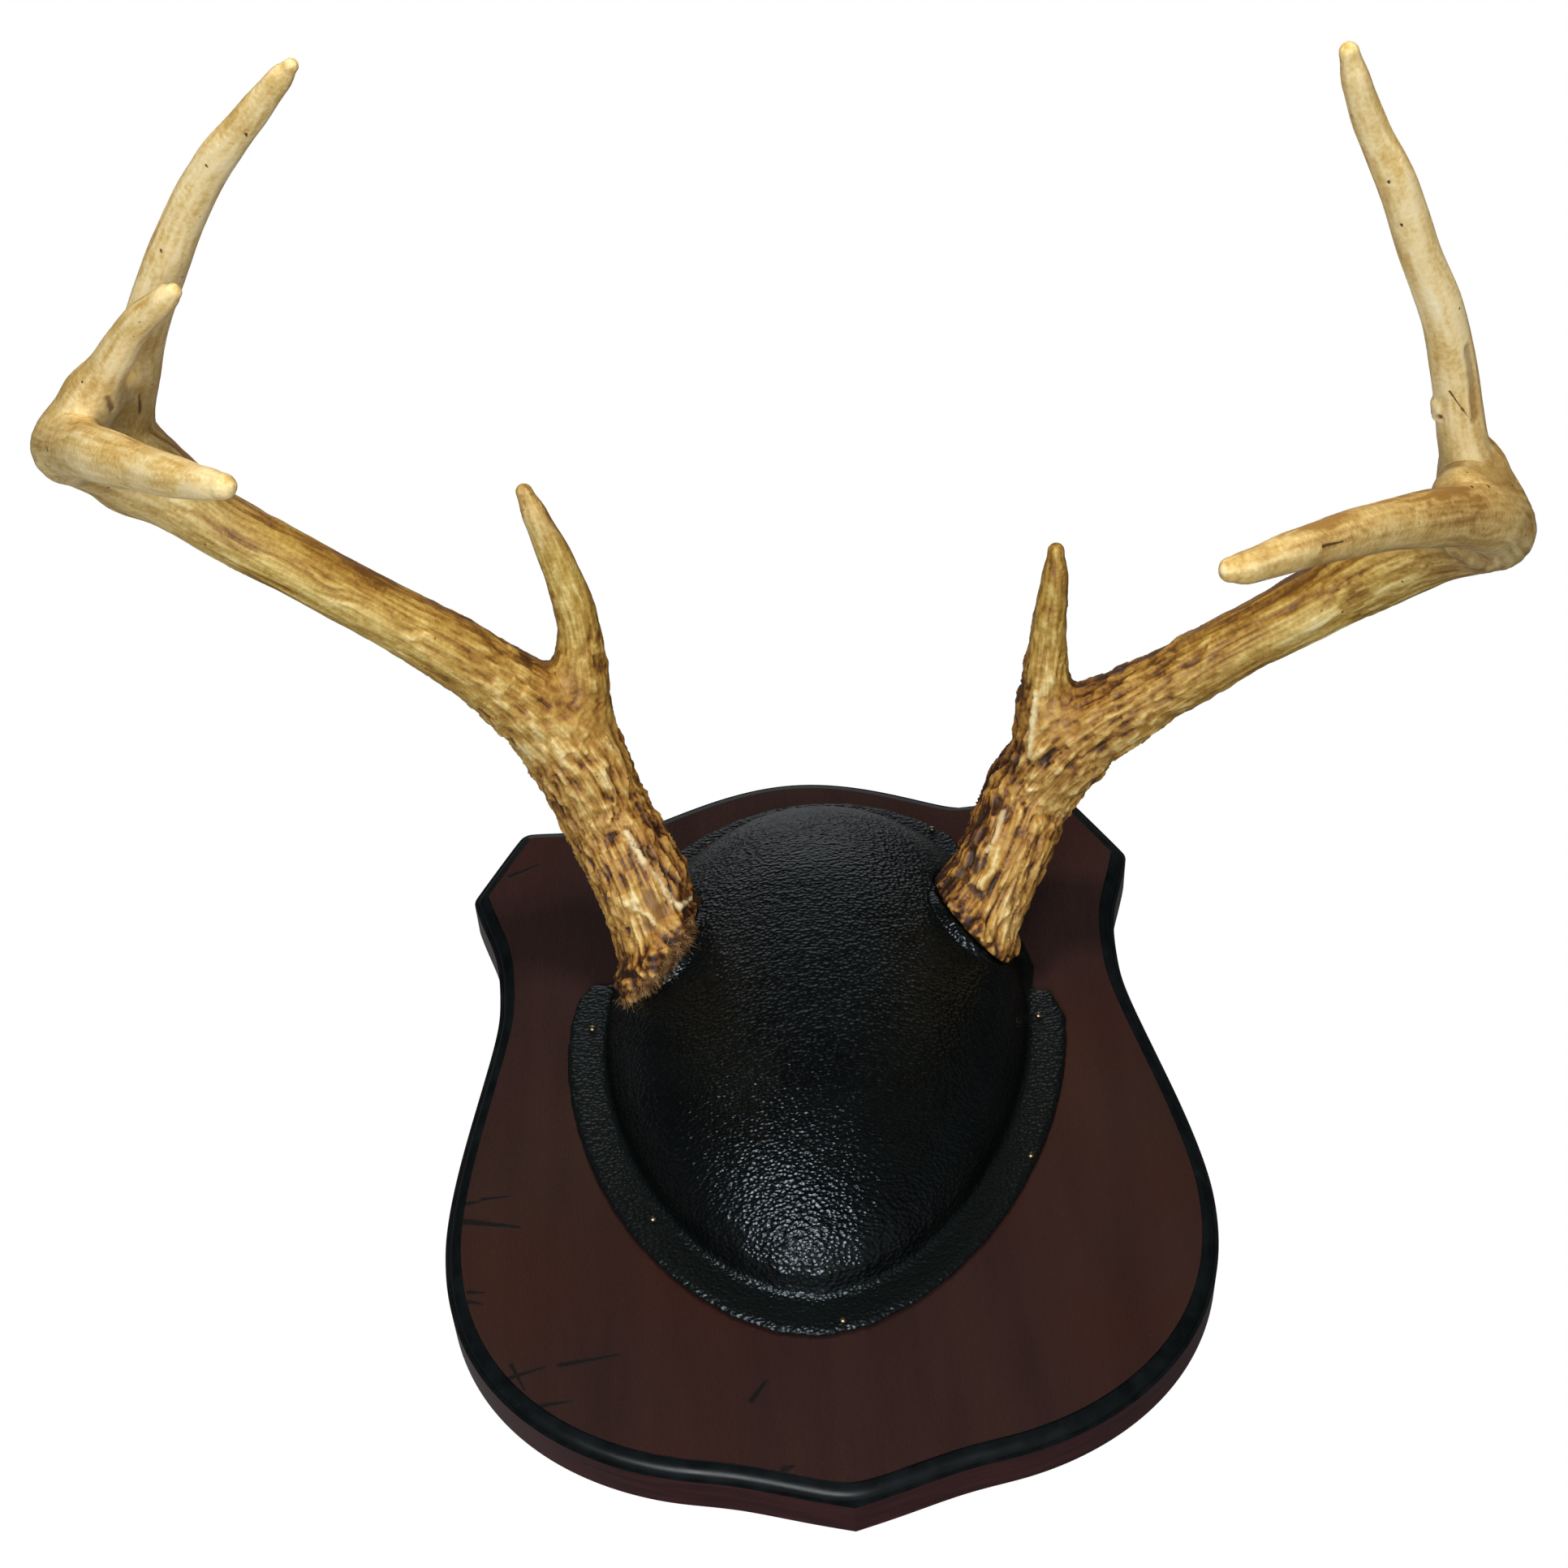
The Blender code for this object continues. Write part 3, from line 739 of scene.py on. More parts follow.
def settle_dome(cover):
    """Sets the dome to its plain form and lowers the bosses' inner sides into it."""
    places = points_of(cover)
    rise = -places[:, 1] - BOARD_FACE
    plain, share = dome_rise(places)
    top_side = ease(rise, 8 * MM, 14 * MM) * (1 - ease(share, 0.93, 0.985))
    settle = top_side * (1 - ease(np.abs(rise - plain), 0.5 * MM, 1.8 * MM))
    places[:, 1] -= (plain - rise) * settle
    over = np.clip(rise - plain, 0, None) * top_side
    for antler in FEET:
        foot, facing = burr_of(antler)
        from_axis = places - foot
        from_axis = from_axis - np.outer(from_axis @ facing, facing)
        outer = ease(FEET[antler][0] * from_axis[:, 0], 2 * MM, 14 * MM)
        apart = np.linalg.norm(from_axis, axis=1)
        lowered = over * ease(apart, *BOSS_MELT) * (1 - outer)
        places[:, 1] += np.where(apart < BOSS_REACH, lowered, 0)
    move_points(cover, places)


cover = welded_copy("skull_cover", "leather_cover")
remesh(cover, LEATHER_VOXEL)
smooth(cover, 7)
settle_dome(cover)
smooth(cover, 3)
print(cover.name, len(cover.data.vertices), "points")

# %% [markdown]
# ## Wrinkles
# Leather that is drawn up between two antlers wrinkles across the upper dome
# and gathers in short folds round each foot. The folds could be a bump, but
# they show in the outline of the bosses, so they are low relief in the mesh.
# The flange lies flat under its nails and gets none.

# %% Push up the wrinkles
WRINKLE_HEIGHT, SAG_HEIGHT = 0.10, 0.25
FOLD_HEIGHT, OUTER_FOLD_HEIGHT = 0.12, 0.5


def foot_folds(antler, places, rise):
    """Short folds round an antler's foot, in metres, highest on its outer side."""
    side, out, _, up = FEET[antler]
    from_foot = (places[:, (0, 2)] - (side * out, up)) / MM
    distance = np.linalg.norm(from_foot, axis=1)
    turn = np.arctan2(from_foot[:, 1], from_foot[:, 0])
    folds = grain(np.column_stack([np.cos(turn) * 6, np.sin(turn) * 6, distance / 30]), 70.0)
    near = (1 - ease(distance, 30, 40)) * ease(rise, 4 * MM, 8 * MM)
    outer = ease(side * from_foot[:, 0], -6, 12)
    return near * (FOLD_HEIGHT + OUTER_FOLD_HEIGHT * outer) * folds * MM


def wrinkle_leather(cover):
    """Wrinkles over the upper dome and folds at the feet, and masks for the finish."""
    places = points_of(cover)
    rise = -places[:, 1] - BOARD_FACE
    flat = places / MM
    bend = grain(flat / 17) * 3
    drawn = np.column_stack([flat[:, 0] / 7.5, flat[:, 1] / 2.6, (flat[:, 2] + bend) / 2.3])
    wrinkle = 1 - 2.2 * np.abs(grain(drawn, 5.0))
    sag = grain(flat / 19, 41.0)
    upper = ease(places[:, 2], 50 * MM, 90 * MM)
    on_dome = ease(rise, 5 * MM, 12 * MM)
    push = on_dome * (WRINKLE_HEIGHT * wrinkle * upper + SAG_HEIGHT * sag) * MM
    for antler in FEET:
        push += foot_folds(antler, places, rise)
    move_points(cover, places + normals_of(cover) * push[:, None])
    keep_values(cover, "flange", 1 - ease(rise, 3.4 * MM, 6.5 * MM))
    keep_values(cover, "upper", upper * on_dome)
    cover.data.shade_smooth()


wrinkle_leather(cover)
print(cover.name, len(cover.data.polygons) * 2, "triangles")

# %% [markdown]
# ## The nails
# Small escutcheon nails with a domed head hold the flange. A nail is a turned
# thing, so its half outline is spun round its axis.

# %% Turn the nails
NAIL_PROFILE = ((0.0, 0.95), (0.45, 0.88), (0.85, 0.66), (1.12, 0.34), (1.2, 0.1), (1.18, 0.0),
                (0.55, 0.0), (0.55, -11.0), (0.16, -12.1), (0.0, -12.3))
NAIL_SIDES = 28
NAIL_SEAT = 0.8 * MM


def make_nail(number):
    """A domed nail in the place of its solid."""
    low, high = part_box(f"nail_{number}")
    seat = low.y + NAIL_SEAT
    bm = bmesh.new()
    outline = [bm.verts.new(Vector((radius * MM, -height * MM, 0))) for radius, height in NAIL_PROFILE]
    edges = [bm.edges.new(pair) for pair in zip(outline, outline[1:])]
    bmesh.ops.spin(bm, geom=outline + edges, cent=(0, 0, 0), axis=(0, 1, 0), dvec=(0, 0, 0),
                   angle=2 * math.pi, steps=NAIL_SIDES, use_merge=True)
    bmesh.ops.remove_doubles(bm, verts=bm.verts, dist=WELD)
    bmesh.ops.translate(bm, verts=bm.verts, vec=((low.x + high.x) / 2, seat, (low.z + high.z) / 2))
    bmesh.ops.recalc_face_normals(bm, faces=bm.faces)
    for face in bm.faces:
        face.smooth = True
    return as_object(bm, f"cover_nail_{number}")


nails = [make_nail(number) for number in range(1, 8)]
print("nails", len(nails))

# %% [markdown]
# ## The fringe of hair
# A little skin was left round the left burr, and its short reddish hair still
# stands along the burr's lower edge. Hair could be curves, but curves this
# fine are lost in an export. Each hair is a thin three-sided cone instead, and
# all of them are one mesh.

# %% Plant the hair
HAIRS = 1200
LONG_HAIRS = 14
HAIR_THICKNESS = 0.2 * MM
HAIR_POINT = 0.12
HAIR_LENGTHS, LONG_LENGTHS = (2.4, 5.0), (7, 11)
STRAY = 0.25
random.seed(8)


def add_hair(bm, root, way, length):
    """A thin cone that stands on its root and points along way."""
    turn = way.to_track_quat("Z", "Y").to_matrix().to_4x4()
    made = bmesh.ops.create_cone(bm, cap_ends=True, segments=3, radius1=HAIR_THICKNESS / 2,
                                 radius2=HAIR_THICKNESS * HAIR_POINT, depth=length)
    bmesh.ops.transform(bm, verts=made["verts"],
                        matrix=Matrix.Translation(root + way * length / 2) @ turn)


def plant_hair():
    """Hair on the part of the left burr that faces down and out."""
    skin = bones["antler_left"]
    foot, facing = burr_of("antler_left")
    places, outward = points_of(skin), normals_of(skin)
    over_burr = (places - foot) @ facing
    spoke = places - foot - np.outer(over_burr, facing)
    down = np.array((0.0, 0.0, -1.0)) + facing * facing[2]
    lowness = -outward[:, 2] - 0.25 * outward[:, 0] - 0.2 * outward[:, 1]
    low = np.nonzero((over_burr > 0.3 * MM) & (over_burr < 4.5 * MM) & (lowness > 0.15)
                     & (spoke @ down > 3 * MM))[0]
    bm = bmesh.new()
    for k in range(HAIRS + LONG_HAIRS):
        here = random.choice(low)
        stray = Vector((random.gauss(0, 1), random.gauss(0, 1), random.gauss(0, 1))) * STRAY
        way = (Vector(outward[here]) * 0.55 - Vector(facing) * 0.5 + stray).normalized()
        length = random.uniform(*(HAIR_LENGTHS if k < HAIRS else LONG_LENGTHS)) * MM
        add_hair(bm, Vector(places[here]) - Vector(outward[here]) * 0.5 * MM, way, length)
    return as_object(bm, "burr_hair")


hair = plant_hair()
print("hairs", HAIRS + LONG_HAIRS)

# %% [markdown]
# ## Building materials
# Every finish is a node tree. A few short helpers keep the trees readable:
# one adds a node with its settings, one joins sockets, and one makes a ramp of
# colours.

# %% Helpers for materials
def new_material(name, roughness):
    """A material with its shader, ready for nodes."""
    material = bpy.data.materials.new(name)
    material.use_nodes = True
    shader = material.node_tree.nodes["Principled BSDF"]
    shader.inputs["Roughness"].default_value = roughness
    return material, material.node_tree, shader


def add(tree, kind, inputs=None, **settings):
    """A node with its settings. Values in inputs are linked or set."""
    made = tree.nodes.new("ShaderNode" + kind)
    for key, value in settings.items():
        setattr(made, key, value)
    for key, value in (inputs or {}).items():
        if isinstance(value, bpy.types.NodeSocket):
            tree.links.new(value, made.inputs[key])
        else:
            made.inputs[key].default_value = value
    return made


def math_node(tree, operation, *values, clamp=False):
    """One sum on plain values or sockets."""
    return add(tree, "Math", dict(enumerate(values)), operation=operation, use_clamp=clamp).outputs[0]


def times(tree, a, b, clamp=False):
    """The product of two values."""
    return math_node(tree, "MULTIPLY", a, b, clamp=clamp)


def plus(tree, a, b, clamp=False):
    """The sum of two values."""
    return math_node(tree, "ADD", a, b, clamp=clamp)


def linear(tree, value, factor, offset, clamp=False):
    """The value times a factor, with an offset added."""
    return math_node(tree, "MULTIPLY_ADD", value, factor, offset, clamp=clamp)


def mix_colour(tree, factor, a, b):
    """Colour a where the factor is 0 and colour b where it is 1."""
    return add(tree, "Mix", {0: factor, 6: a, 7: b}, data_type="RGBA").outputs[2]


def ramp(tree, factor, stops):
    """A run of colours over a value from 0 to 1."""
    made = add(tree, "ValToRGB", {"Fac": factor})
    colours = made.color_ramp.elements
    while len(colours) < len(stops):
        colours.new(0.5)
    for element, (place, colour) in zip(colours, stops):
        element.position = place
        element.color = (*colour, 1)
    return made.outputs["Color"]


print("node helpers ready")

# %% Helpers for patterns and relief
def spread(tree, value, low, high):
    """The value stretched so that low gives 0 and high gives 1."""
    made = add(tree, "MapRange", {"Value": value, "From Min": low, "From Max": high})
    return made.outputs["Result"]


def attribute(tree, name, vector=False):
    """A value that the modelling kept on the points."""
    made = add(tree, "Attribute", attribute_name=name)
    return made.outputs["Vector" if vector else "Fac"]


def object_place(tree):
    """The place of each point of a surface."""
    return add(tree, "TexCoord").outputs["Object"]


def stretched(tree, vector, scale):
    """The place scaled by its own number along each axis."""
    return add(tree, "Mapping", {"Vector": vector, "Scale": scale}).outputs["Vector"]


def noise_of(tree, vector, scale, detail=3.0, roughness=0.55):
    """Soft noise from 0 to 1."""
    made = add(tree, "TexNoise", {"Vector": vector, "Scale": scale, "Detail": detail,
                                  "Roughness": roughness})
    return made.outputs["Fac"]


def bump(tree, shader, height, strength, distance):
    """Fine relief that only the light sees."""
    made = add(tree, "Bump", {"Height": height, "Strength": strength, "Distance": distance})
    tree.links.new(made.outputs["Normal"], shader.inputs["Normal"])


print("pattern helpers ready")

# %% [markdown]
# ## Two shared effects
# Fine dust lies on the board and the leather alike, so it is a node group that
# each material places with its own amount. A scratch is another group: it
# measures how far a point is from the line between two ends.

# %% Make the dust group
def new_group(name, vectors, numbers):
    """A node group with its ways in, and the socket that its mask goes to."""
    group = bpy.data.node_groups.new(name, "ShaderNodeTree")
    for key in vectors:
        group.interface.new_socket(name=key, in_out="INPUT", socket_type="NodeSocketVector")
    for key, value in numbers.items():
        made = group.interface.new_socket(name=key, in_out="INPUT", socket_type="NodeSocketFloat")
        made.default_value = value
    group.interface.new_socket(name="Mask", in_out="OUTPUT", socket_type="NodeSocketFloat")
    inside, outside = (group.nodes.new("NodeGroup" + side) for side in ("Input", "Output"))
    ways_in = [inside.outputs[key] for key in (*vectors, *numbers)]
    return group, ways_in, outside.inputs["Mask"]


def make_dust_group():
    """Sparse pale specks in patches."""
    group, (place, size, amount), out = new_group("dust", ["Vector"], {"Size": 900.0, "Amount": 0.06})
    speck = add(group, "TexVoronoi", {"Vector": place, "Scale": size})
    near = math_node(group, "LESS_THAN", speck.outputs["Distance"], amount)
    patch = spread(group, noise_of(group, place, 60.0), 0.52, 0.62)
    group.links.new(times(group, near, patch, clamp=True), out)
    return group


DUST = make_dust_group()


def dusted(tree, place, colour, size, amount, cover, tint):
    """The colour under a sparse dust of its own grain size and tint."""
    settings = {"Vector": place, "Size": size, "Amount": amount}
    dust = add(tree, "Group", settings, node_tree=DUST).outputs["Mask"]
    return mix_colour(tree, times(tree, dust, cover), colour, tint)


print("group", DUST.name)

# %% Make the scratch group
def make_scratch_group():
    """1 on the line between two ends, 0 away from it, broken up by noise."""
    group, (place, start, end, width), out = new_group(
        "scratch", ["Vector", "Start", "End"], {"Width": 0.0006})

    def vectors(a, b, operation, result):
        """One operation on two vectors."""
        return add(group, "VectorMath", {0: a, 1: b}, operation=operation).outputs[result]

    span = vectors(end, start, "SUBTRACT", "Vector")
    offset = vectors(place, start, "SUBTRACT", "Vector")
    along = vectors(offset, span, "DOT_PRODUCT", "Value")
    square = vectors(span, span, "DOT_PRODUCT", "Value")
    share = math_node(group, "DIVIDE", along, square, clamp=True)
    foot = add(group, "VectorMath", {0: span, "Scale": share}, operation="SCALE").outputs["Vector"]
    gap = vectors(offset, foot, "DISTANCE", "Value")
    taper = math_node(group, "SUBTRACT", 1.0, times(group, share, 0.6))
    rough = spread(group, noise_of(group, place, 900.0), 0.1, 0.5)
    reach = times(group, times(group, width, taper), rough)
    mask = math_node(group, "SUBTRACT", 1.0, math_node(group, "DIVIDE", gap, reach), clamp=True)
    group.links.new(spread(group, mask, 0.0, 0.5), out)
    return group


SCRATCH = make_scratch_group()


def scratches_on(tree, place, lines):
    """One mask for many scratches, each given by two ends and a width in metres."""
    worn = None
    for start, end, width in lines:
        settings = {"Vector": place, "Start": start, "End": end, "Width": width}
        mask = add(tree, "Group", settings, node_tree=SCRATCH).outputs["Mask"]
        worn = mask if worn is None else math_node(tree, "MAXIMUM", worn, mask)
    return worn


print("group", SCRATCH.name)

# %% [markdown]
# ## Antler bone
# Bone is ivory where it is rubbed, and the furrows hold a brown stain from
# bark and soil. The stain could be painted as a picture, but a tree of nodes
# that reads the values kept by the carving stays sharp at any size. The tone
# follows the furrows, runs in streaks along the unrolled horn, and has a painted
# shade: the upper side of the old bone is darker and the under side paler.
# Three ramps turn it into colour, for old, middling and young bone. The stains
# of the marks lie over them.

# %% How stained the bone is, and its painted shade
IVORY, BROWN, BLACKENED = (0.78, 0.64, 0.36, 1), (0.17, 0.075, 0.017, 1), (0.035, 0.012, 0.004, 1)
PIT, SCRATCHED = (0.14, 0.08, 0.03, 1), (0.09, 0.045, 0.015, 1)
OLD_BONE = ((0.0, (0.022, 0.007, 0.002)), (0.16, (0.11, 0.04, 0.008)), (0.34, (0.29, 0.13, 0.02)),
            (0.58, (0.44, 0.25, 0.055)), (0.8, (0.60, 0.42, 0.15)), (1.0, (0.76, 0.62, 0.34)))
MIDDLE_BONE = ((0.0, (0.12, 0.045, 0.006)), (0.25, (0.26, 0.125, 0.015)), (0.5, (0.41, 0.26, 0.05)),
               (0.75, (0.60, 0.44, 0.14)), (1.0, (0.76, 0.64, 0.34)))
YOUNG_BONE = ((0.0, (0.34, 0.175, 0.035)), (0.3, (0.62, 0.42, 0.14)), (0.55, (0.80, 0.63, 0.32)),
              (1.0, (0.90, 0.80, 0.57)))
BONE_SCRATCHES = (
    ("antler_left", 198, 308, 199, 311, 0.7), ("antler_left", 303, 165, 304, 168, 0.7),
    ("antler_left", 254, 204, 256, 206, 0.6), ("antler_left", 58, 553, 59, 556, 0.9),
    ("antler_right", 1786, 482, 1801, 503, 0.45), ("antler_right", 1801, 503, 1815, 521, 0.45),
    ("antler_right", 1630, 673, 1655, 667, 0.7), ("antler_right", 1711, 224, 1712, 226, 0.7),
    ("antler_right", 1727, 277, 1728, 279, 0.7), ("antler_right", 1813, 599, 1814, 601, 0.8),
    ("antler_right", 1834, 599, 1835, 601, 0.8),
)


def bone_tone(tree, place, fine, age):
    """From 0 in a stained furrow to 1 on rubbed ivory, with a painted shade on skin that faces up."""
    level, upper, one_horn = (attribute(tree, name) for name in ("level", "upper", "one_horn"))
    cloud = noise_of(tree, place, 55.0, 3.0)
    course = attribute(tree, "course", vector=True)
    streaks = noise_of(tree, stretched(tree, course, (0.9, 0.9, 0.05)), 1.0, 4.0, 0.6)
    streaks = times(tree, linear(tree, streaks, 1.3, -0.65), one_horn)
    streaks = times(tree, streaks, linear(tree, age, -0.75, 1.0))
    # Painted shade: skin that faces up is darker and skin that faces down paler, most of all on old bone.
    # The sum below, named stain, holds this painted shade and the paler tone of young bone.
    turned = times(tree, upper, linear(tree, age, 0.26, -0.38))
    stain = plus(tree, turned, linear(tree, age, 0.13, 0.25))
    contrast = linear(tree, age, -0.2, 0.34)
    tone = linear(tree, level, contrast, stain)
    tone = plus(tree, tone, linear(tree, cloud, 0.7, -0.35))
    tone = plus(tree, tone, streaks)
    return plus(tree, tone, linear(tree, fine, 0.6, -0.3), clamp=True)


def marked_bone(tree, place, colour):
    """Fine pits, the stains of the marks and the scratches over the bone's colour."""
    speck = add(tree, "TexVoronoi", {"Vector": place, "Scale": 160.0})
    dots = math_node(tree, "LESS_THAN", speck.outputs["Distance"], 0.07)
    few = spread(tree, noise_of(tree, place, 60.0), 0.5, 0.56)
    colour = mix_colour(tree, times(tree, dots, few, clamp=True), colour, PIT)
    mark = attribute(tree, "stain")
    colour = mix_colour(tree, times(tree, mark, -1.6, clamp=True), colour, BROWN)
    colour = mix_colour(tree, linear(tree, mark, -2.0, -1.0, clamp=True), colour, BLACKENED)
    colour = mix_colour(tree, times(tree, mark, 0.8, clamp=True), colour, IVORY)
    lines = [(on_bone(bone_trees[antler], x0, y0), on_bone(bone_trees[antler], x1, y1), width * MM)
             for antler, x0, y0, x1, y1, width in BONE_SCRATCHES]
    return mix_colour(tree, scratches_on(tree, place, lines), colour, SCRATCHED)


print("bone ramps of", len(OLD_BONE), len(MIDDLE_BONE), "and", len(YOUNG_BONE), "colours")

# %% Bone finish
def make_bone():
    """Stained furrows near the burr, golden streaks, smooth ivory tines."""
    material, tree, shader = new_material("antler_bone", 0.42)
    place = object_place(tree)
    age = attribute(tree, "age")
    fine = noise_of(tree, place, 700.0, 4.0, 0.6)
    tone = bone_tone(tree, place, fine, age)
    old, middle, young = (ramp(tree, tone, stops) for stops in (OLD_BONE, MIDDLE_BONE, YOUNG_BONE))
    colour = mix_colour(tree, spread(tree, age, 0.1, 0.45), old, middle)
    colour = mix_colour(tree, spread(tree, age, 0.5, 0.95), colour, young)
    tree.links.new(marked_bone(tree, place, colour), shader.inputs["Base Color"])
    tree.links.new(spread(tree, fine, -0.8, 1.5), shader.inputs["Roughness"])
    bump(tree, shader, fine, 0.4, 0.0006)
    return material


bone = make_bone()
print("made", bone.name)

# %% [markdown]
# ## Black leather
# The leather is dyed black and has a fine pebbled grain with a half gloss. On
# the dome it is stretched, so the grain lies in short level rows, and on the
# flange it is pressed flat and duller. The grain is a bump made of small
# cells, and the wrinkles under it are already in the mesh.

# %% Leather finish
def make_leather():
    """Pebbled black leather, glossier on the dome than on the flange."""
    material, tree, shader = new_material("black_leather", 0.4)
    place = object_place(tree)
    flange = attribute(tree, "flange")
    grains = stretched(tree, place, (620, 620, 900))
    pebble = add(tree, "TexVoronoi", {"Vector": grains, "Scale": 1.0})
    crumple = noise_of(tree, stretched(tree, place, (260, 260, 520)), 1.0, 4.0, 0.6)
    creases = noise_of(tree, stretched(tree, place, (110, 110, 560)), 1.0, 3.0)
    level = plus(tree, times(tree, pebble.outputs["Distance"], 0.8),
                      times(tree, crumple, 0.9))
    level = plus(tree, level, times(tree, creases, attribute(tree, "upper")))
    shade = noise_of(tree, place, 35.0)
    colour = ramp(tree, shade, ((0.3, (0.0012, 0.0016, 0.0018)), (0.7, (0.0028, 0.0038, 0.0038))))
    colour = mix_colour(tree, flange, colour, (0.003, 0.0042, 0.004, 1))
    colour = dusted(tree, place, colour, 700.0, 0.05, 0.25, (0.2, 0.2, 0.18, 1))
    tree.links.new(colour, shader.inputs["Base Color"])
    gloss = linear(tree, crumple, 0.14, 0.09)
    gloss = plus(tree, gloss, times(tree, flange, 0.12))
    tree.links.new(gloss, shader.inputs["Roughness"])
    shader.inputs["Specular IOR Level"].default_value = 0.5
    shader.inputs["Specular Tint"].default_value = (0.80, 0.92, 1.0, 1)
    bump(tree, shader, level, 0.6, 0.0009)
    return material


leather = make_leather()
print("made", leather.name)

# %% [markdown]
# ## Board finishes
# The face is stained dark brown and varnished, the moulding is painted black
# by hand, and the edge of the plank keeps its red-brown stain. The back was
# never varnished. The scratches are real ones seen on the face: each is placed
# by two points of the picture, carried onto the face by a ray from the eye.

# %% Varnished face
SCRATCH_WIDTH = 1.4 * MM
SCRATCHES = (
    (571, 1505, 640, 1512, 1.3), (573, 1483, 590, 1481, 1.1), (594, 1478, 628, 1474, 0.7),
    (577, 1592, 596, 1593, 0.8), (578, 1604, 594, 1607, 0.8), (628, 1698, 672, 1684, 0.8),
    (690, 1682, 762, 1669, 0.9), (926, 1725, 944, 1701, 1.0), (630, 1682, 646, 1712, 0.7),
    (668, 1732, 704, 1726, 0.8), (628, 1080, 664, 1066, 1.0), (966, 1810, 978, 1806, 1.1),
)


def on_face(x, y):
    """The point of the board's face seen at a point of the picture."""
    way = ray_through(x, y)
    return EYE + way * ((-BOARD_FACE - EYE.y) / way.y)


def make_face():
    """Dark brown varnish with its scratches and a little dust."""
    material, tree, shader = new_material("brown_varnish", 0.3)
    place = object_place(tree)
    figure = noise_of(tree, stretched(tree, place, (60, 60, 9)), 1.0, 4.0)
    pores = noise_of(tree, stretched(tree, place, (1500, 1500, 120)), 1.0, 2.0)
    colour = ramp(tree, figure, ((0.3, (0.021, 0.0098, 0.0085)), (0.7, (0.030, 0.0135, 0.0112))))
    warm = spread(tree, noise_of(tree, place, 9.0, 1.0), 0.5, 0.75)
    colour = mix_colour(tree, warm, colour, (0.034, 0.0105, 0.007, 1))
    lines = [(on_face(x0, y0), on_face(x1, y1), SCRATCH_WIDTH * width)
             for x0, y0, x1, y1, width in SCRATCHES]
    worn = scratches_on(tree, place, lines)
    colour = mix_colour(tree, worn, colour, (0.002, 0.0015, 0.001, 1))
    colour = dusted(tree, place, colour, 260.0, 0.035, 0.5, (0.18, 0.15, 0.12, 1))
    tree.links.new(colour, shader.inputs["Base Color"])
    gloss = linear(tree, pores, 0.10, 0.22)
    gloss = plus(tree, gloss, times(tree, worn, 0.4))
    tree.links.new(gloss, shader.inputs["Roughness"])
    level = math_node(tree, "SUBTRACT", times(tree, pores, 0.04), worn)
    bump(tree, shader, level, 0.25, 0.0003)
    return material


face_finish = make_face()
print("made", face_finish.name, "with", len(SCRATCHES), "scratches")

# %% Paint and stain on the other parts of the board
def make_paint(name, colour, edge_colour, roughness, brush):
    """Painted or stained wood with soft changes of tone."""
    material, tree, shader = new_material(name, roughness)
    place = object_place(tree)
    tone = noise_of(tree, stretched(tree, place, brush), 1.0, 4.0)
    paint = ramp(tree, tone, ((0.35, colour), (0.7, edge_colour)))
    paint = dusted(tree, place, paint, 420.0, 0.05, 0.3, (0.2, 0.17, 0.14, 1))
    tree.links.new(paint, shader.inputs["Base Color"])
    tree.links.new(linear(tree, tone, 0.2, roughness - 0.1), shader.inputs["Roughness"])
    shader.inputs["Specular IOR Level"].default_value = 0.25
    bump(tree, shader, tone, 0.12, 0.0004)
    return material


finishes = {
    FACE: face_finish,
    MOULDING: make_paint("black_paint", (0.002, 0.003, 0.0035), (0.005, 0.007, 0.008), 0.36,
                         (140, 140, 140)),
    SIDE: make_paint("red_brown_stain", (0.022, 0.005, 0.006), (0.045, 0.011, 0.012), 0.4,
                     (40, 400, 40)),
    BACK: make_paint("plain_wood", (0.10, 0.055, 0.03), (0.17, 0.10, 0.055), 0.7, (160, 160, 14)),
}
print("board finishes", [m.name for m in finishes.values()])

# %% [markdown]
# ## Brass and hair
# The nail heads have dulled to a pale brass, and the hair is a reddish brown.

# %% Nail and hair finishes
def make_brass():
    """Dull brass with darker tarnish in patches."""
    material, tree, shader = new_material("old_brass", 0.35)
    shader.inputs["Metallic"].default_value = 1.0
    tarnish = noise_of(tree, object_place(tree), 900.0)
    colour = ramp(tree, tarnish, ((0.35, (0.30, 0.22, 0.11)), (0.6, (0.62, 0.52, 0.31))))
    tree.links.new(colour, shader.inputs["Base Color"])
    tree.links.new(linear(tree, tarnish, 0.3, 0.2), shader.inputs["Roughness"])
    return material


def make_hair_finish():
    """Short hair, reddish brown with paler ends here and there."""
    material, tree, shader = new_material("deer_hair", 0.6)
    tone = noise_of(tree, object_place(tree), 450.0, 2.0)
    colour = ramp(tree, tone, ((0.35, (0.045, 0.018, 0.006)), (0.52, (0.24, 0.12, 0.04)),
                               (0.7, (0.55, 0.37, 0.17))))
    tree.links.new(colour, shader.inputs["Base Color"])
    return material


brass = make_brass()
hair_finish = make_hair_finish()
print("made", brass.name, hair_finish.name)

# %% [markdown]
# ## Putting the pieces on the frame
# Each new piece takes the place of its solid, takes its finish, and rides on
# the part's one body.

# %% Give each piece its finish and its place
def dress(piece, materials, slot, *nodes):
    """The piece rides on the part and stands for its solids."""
    for material in materials:
        piece.data.materials.append(material)
    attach(piece, "root")
    if nodes:
        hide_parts(*nodes)


for antler, piece in bones.items():
    dress(piece, [bone], "antler", antler)
dress(hair, [hair_finish], "antler")
dress(cover, [leather], "black_leather", "skull_cover")
dress(board, [finishes[zone] for zone in (BACK, SIDE, MOULDING, FACE)], "stained_wood", "plaque")
for number, nail in enumerate(nails, 1):
    dress(nail, [brass], "brass", f"nail_{number}")

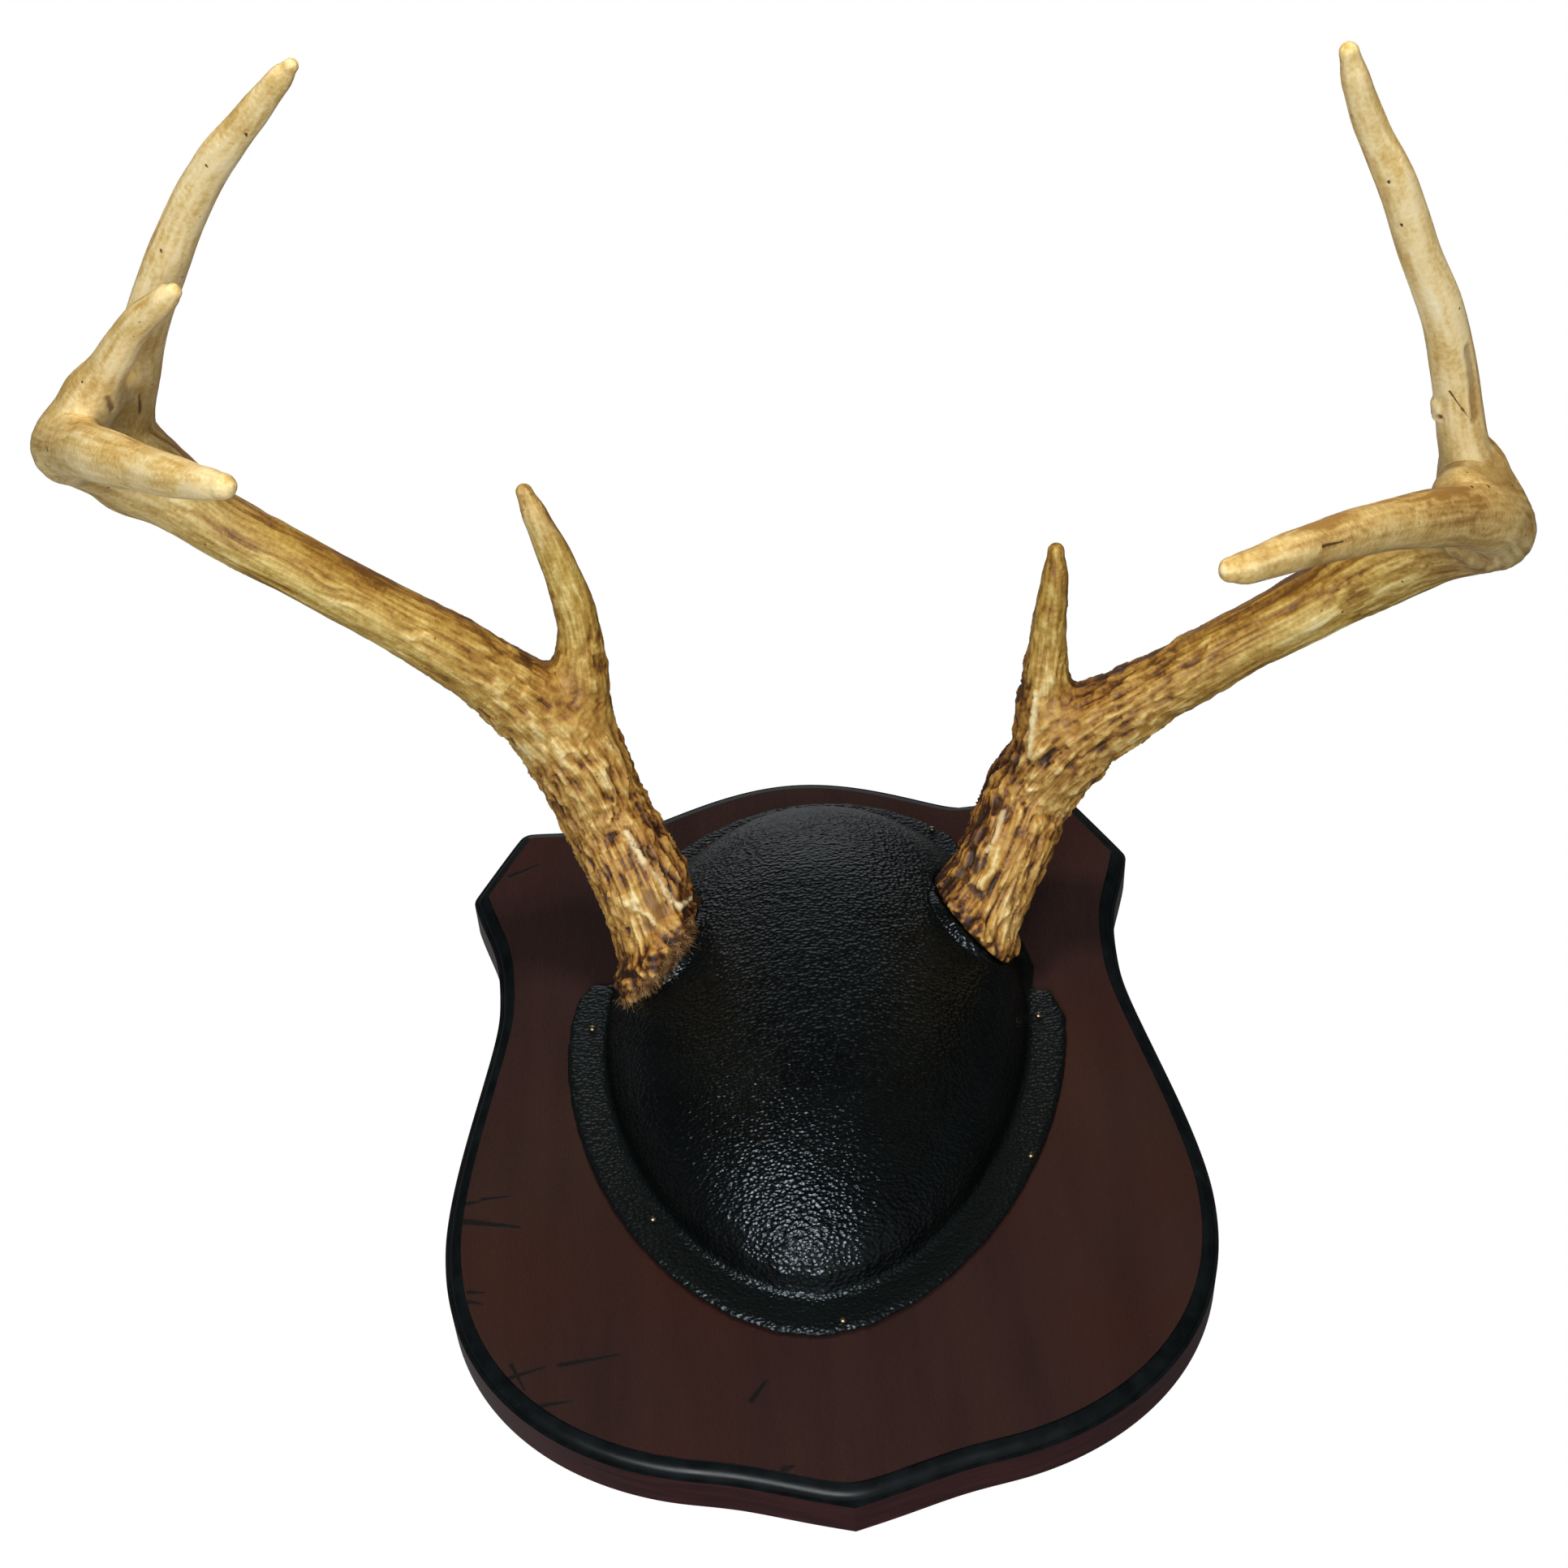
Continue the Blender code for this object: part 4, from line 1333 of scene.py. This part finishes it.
# %% [markdown]
# ## Light and floor
# The plaque hangs in even white light. One soft window low in front of it gives
# the leather its glint, the ceiling adds a faint sheen from above, and four
# lights that don't show in the gloss fill in the front, the side and the back.
# The backdrop is white to the eye, but it lights the object less, so that the
# black parts stay black. The floor glows a little for the eye alone, because
# it would look grey against the backdrop in the higher views.

# %% Light the plaque
WARM = (1.0, 0.97, 0.92)
LIGHTS = (
    ("window", (-0.34, -0.95, -1.1), (0, -0.15, 0), 0.6, 17, (0.92, 0.96, 1.0), True),
    ("room", (0.25, -1.5, -0.6), (0, -0.15, 0), 0.8, 5.2, WARM, False),
    ("side", (1.3, -0.75, 0.1), (0, -0.2, 0), 0.8, 3.5, WARM, False),
    ("behind", (-0.2, 1.1, 0.9), (0, -0.1, 0), 0.9, 11, (1.0, 0.98, 0.95), False),
    ("lamp", (0.0, -1.0, 0.14), (0, -0.1, 0), 0.12, 5, (1.0, 0.96, 0.90), False),
    ("ceiling", (0.0, -0.35, 1.5), (0, -0.05, 0), 1.1, 2.8, (0.95, 0.97, 1.0), True),
)


def area_light(name, place, target, size, power, colour, glossy):
    """A soft square light that faces a target and stays out of the picture."""
    lamp = bpy.data.lights.new(name, "AREA")
    lamp.size = size
    lamp.energy = power
    lamp.color = colour
    light = bpy.data.objects.new(name, lamp)
    light.location = place
    light.rotation_mode = "QUATERNION"
    light.rotation_quaternion = (Vector(target) - Vector(place)).to_track_quat("-Z", "Y")
    light.visible_camera = False
    light.visible_glossy = glossy
    scene.collection.objects.link(light)


for settings in LIGHTS:
    area_light(*settings)
print("lights", [settings[0] for settings in LIGHTS])

# %% White to the eye, dimmer to the object
world = bpy.data.worlds.new("white room")
world.use_nodes = True
scene.world = world
room = world.node_tree
backdrop = room.nodes["Background"]
backdrop.inputs["Color"].default_value = (1, 1, 1, 1)
way = add(room, "SeparateXYZ", {"Vector": add(room, "TexCoord").outputs["Generated"]})
behind = add(room, "MapRange", {"Value": way.outputs["Y"], "From Min": -0.1, "From Max": 0.6,
                                "To Min": 0.03, "To Max": 0.25}, interpolation_type="SMOOTHSTEP")
left = add(room, "MapRange", {"Value": way.outputs["X"], "From Min": -0.2, "From Max": 0.7,
                              "To Min": 1.0, "To Max": 0.35}, interpolation_type="SMOOTHSTEP")
glow = times(room, behind.outputs["Result"], left.outputs["Result"])
eye_ray = add(room, "LightPath").outputs["Is Camera Ray"]
room.links.new(math_node(room, "MAXIMUM", glow, eye_ray), backdrop.inputs["Strength"])
scene.view_settings.view_transform = "Standard"
print("backdrop", world.name)

# %% Lay the floor
FLOOR_SIZE, FLOOR_HEIGHT, FLOOR_GLOW = 6, -1.6, 0.8

bm = bmesh.new()
bmesh.ops.create_grid(bm, x_segments=1, y_segments=1, size=FLOOR_SIZE)
bmesh.ops.translate(bm, verts=bm.verts, vec=(0, 0, FLOOR_HEIGHT))
floor = as_object(bm, "floor")
floor_finish, floor_tree, floor_shader = new_material("pale_floor", 0.8)
pale = ramp(floor_tree, noise_of(floor_tree, object_place(floor_tree), 3.0),
            ((0.3, (0.81, 0.81, 0.80)), (0.7, (0.83, 0.83, 0.82))))
floor_tree.links.new(pale, floor_shader.inputs["Base Color"])
floor_tree.links.new(pale, floor_shader.inputs["Emission Color"])
seen = add(floor_tree, "LightPath").outputs["Is Camera Ray"]
floor_tree.links.new(times(floor_tree, seen, FLOOR_GLOW), floor_shader.inputs["Emission Strength"])
floor.data.materials.append(floor_finish)
print("floor at", FLOOR_HEIGHT)
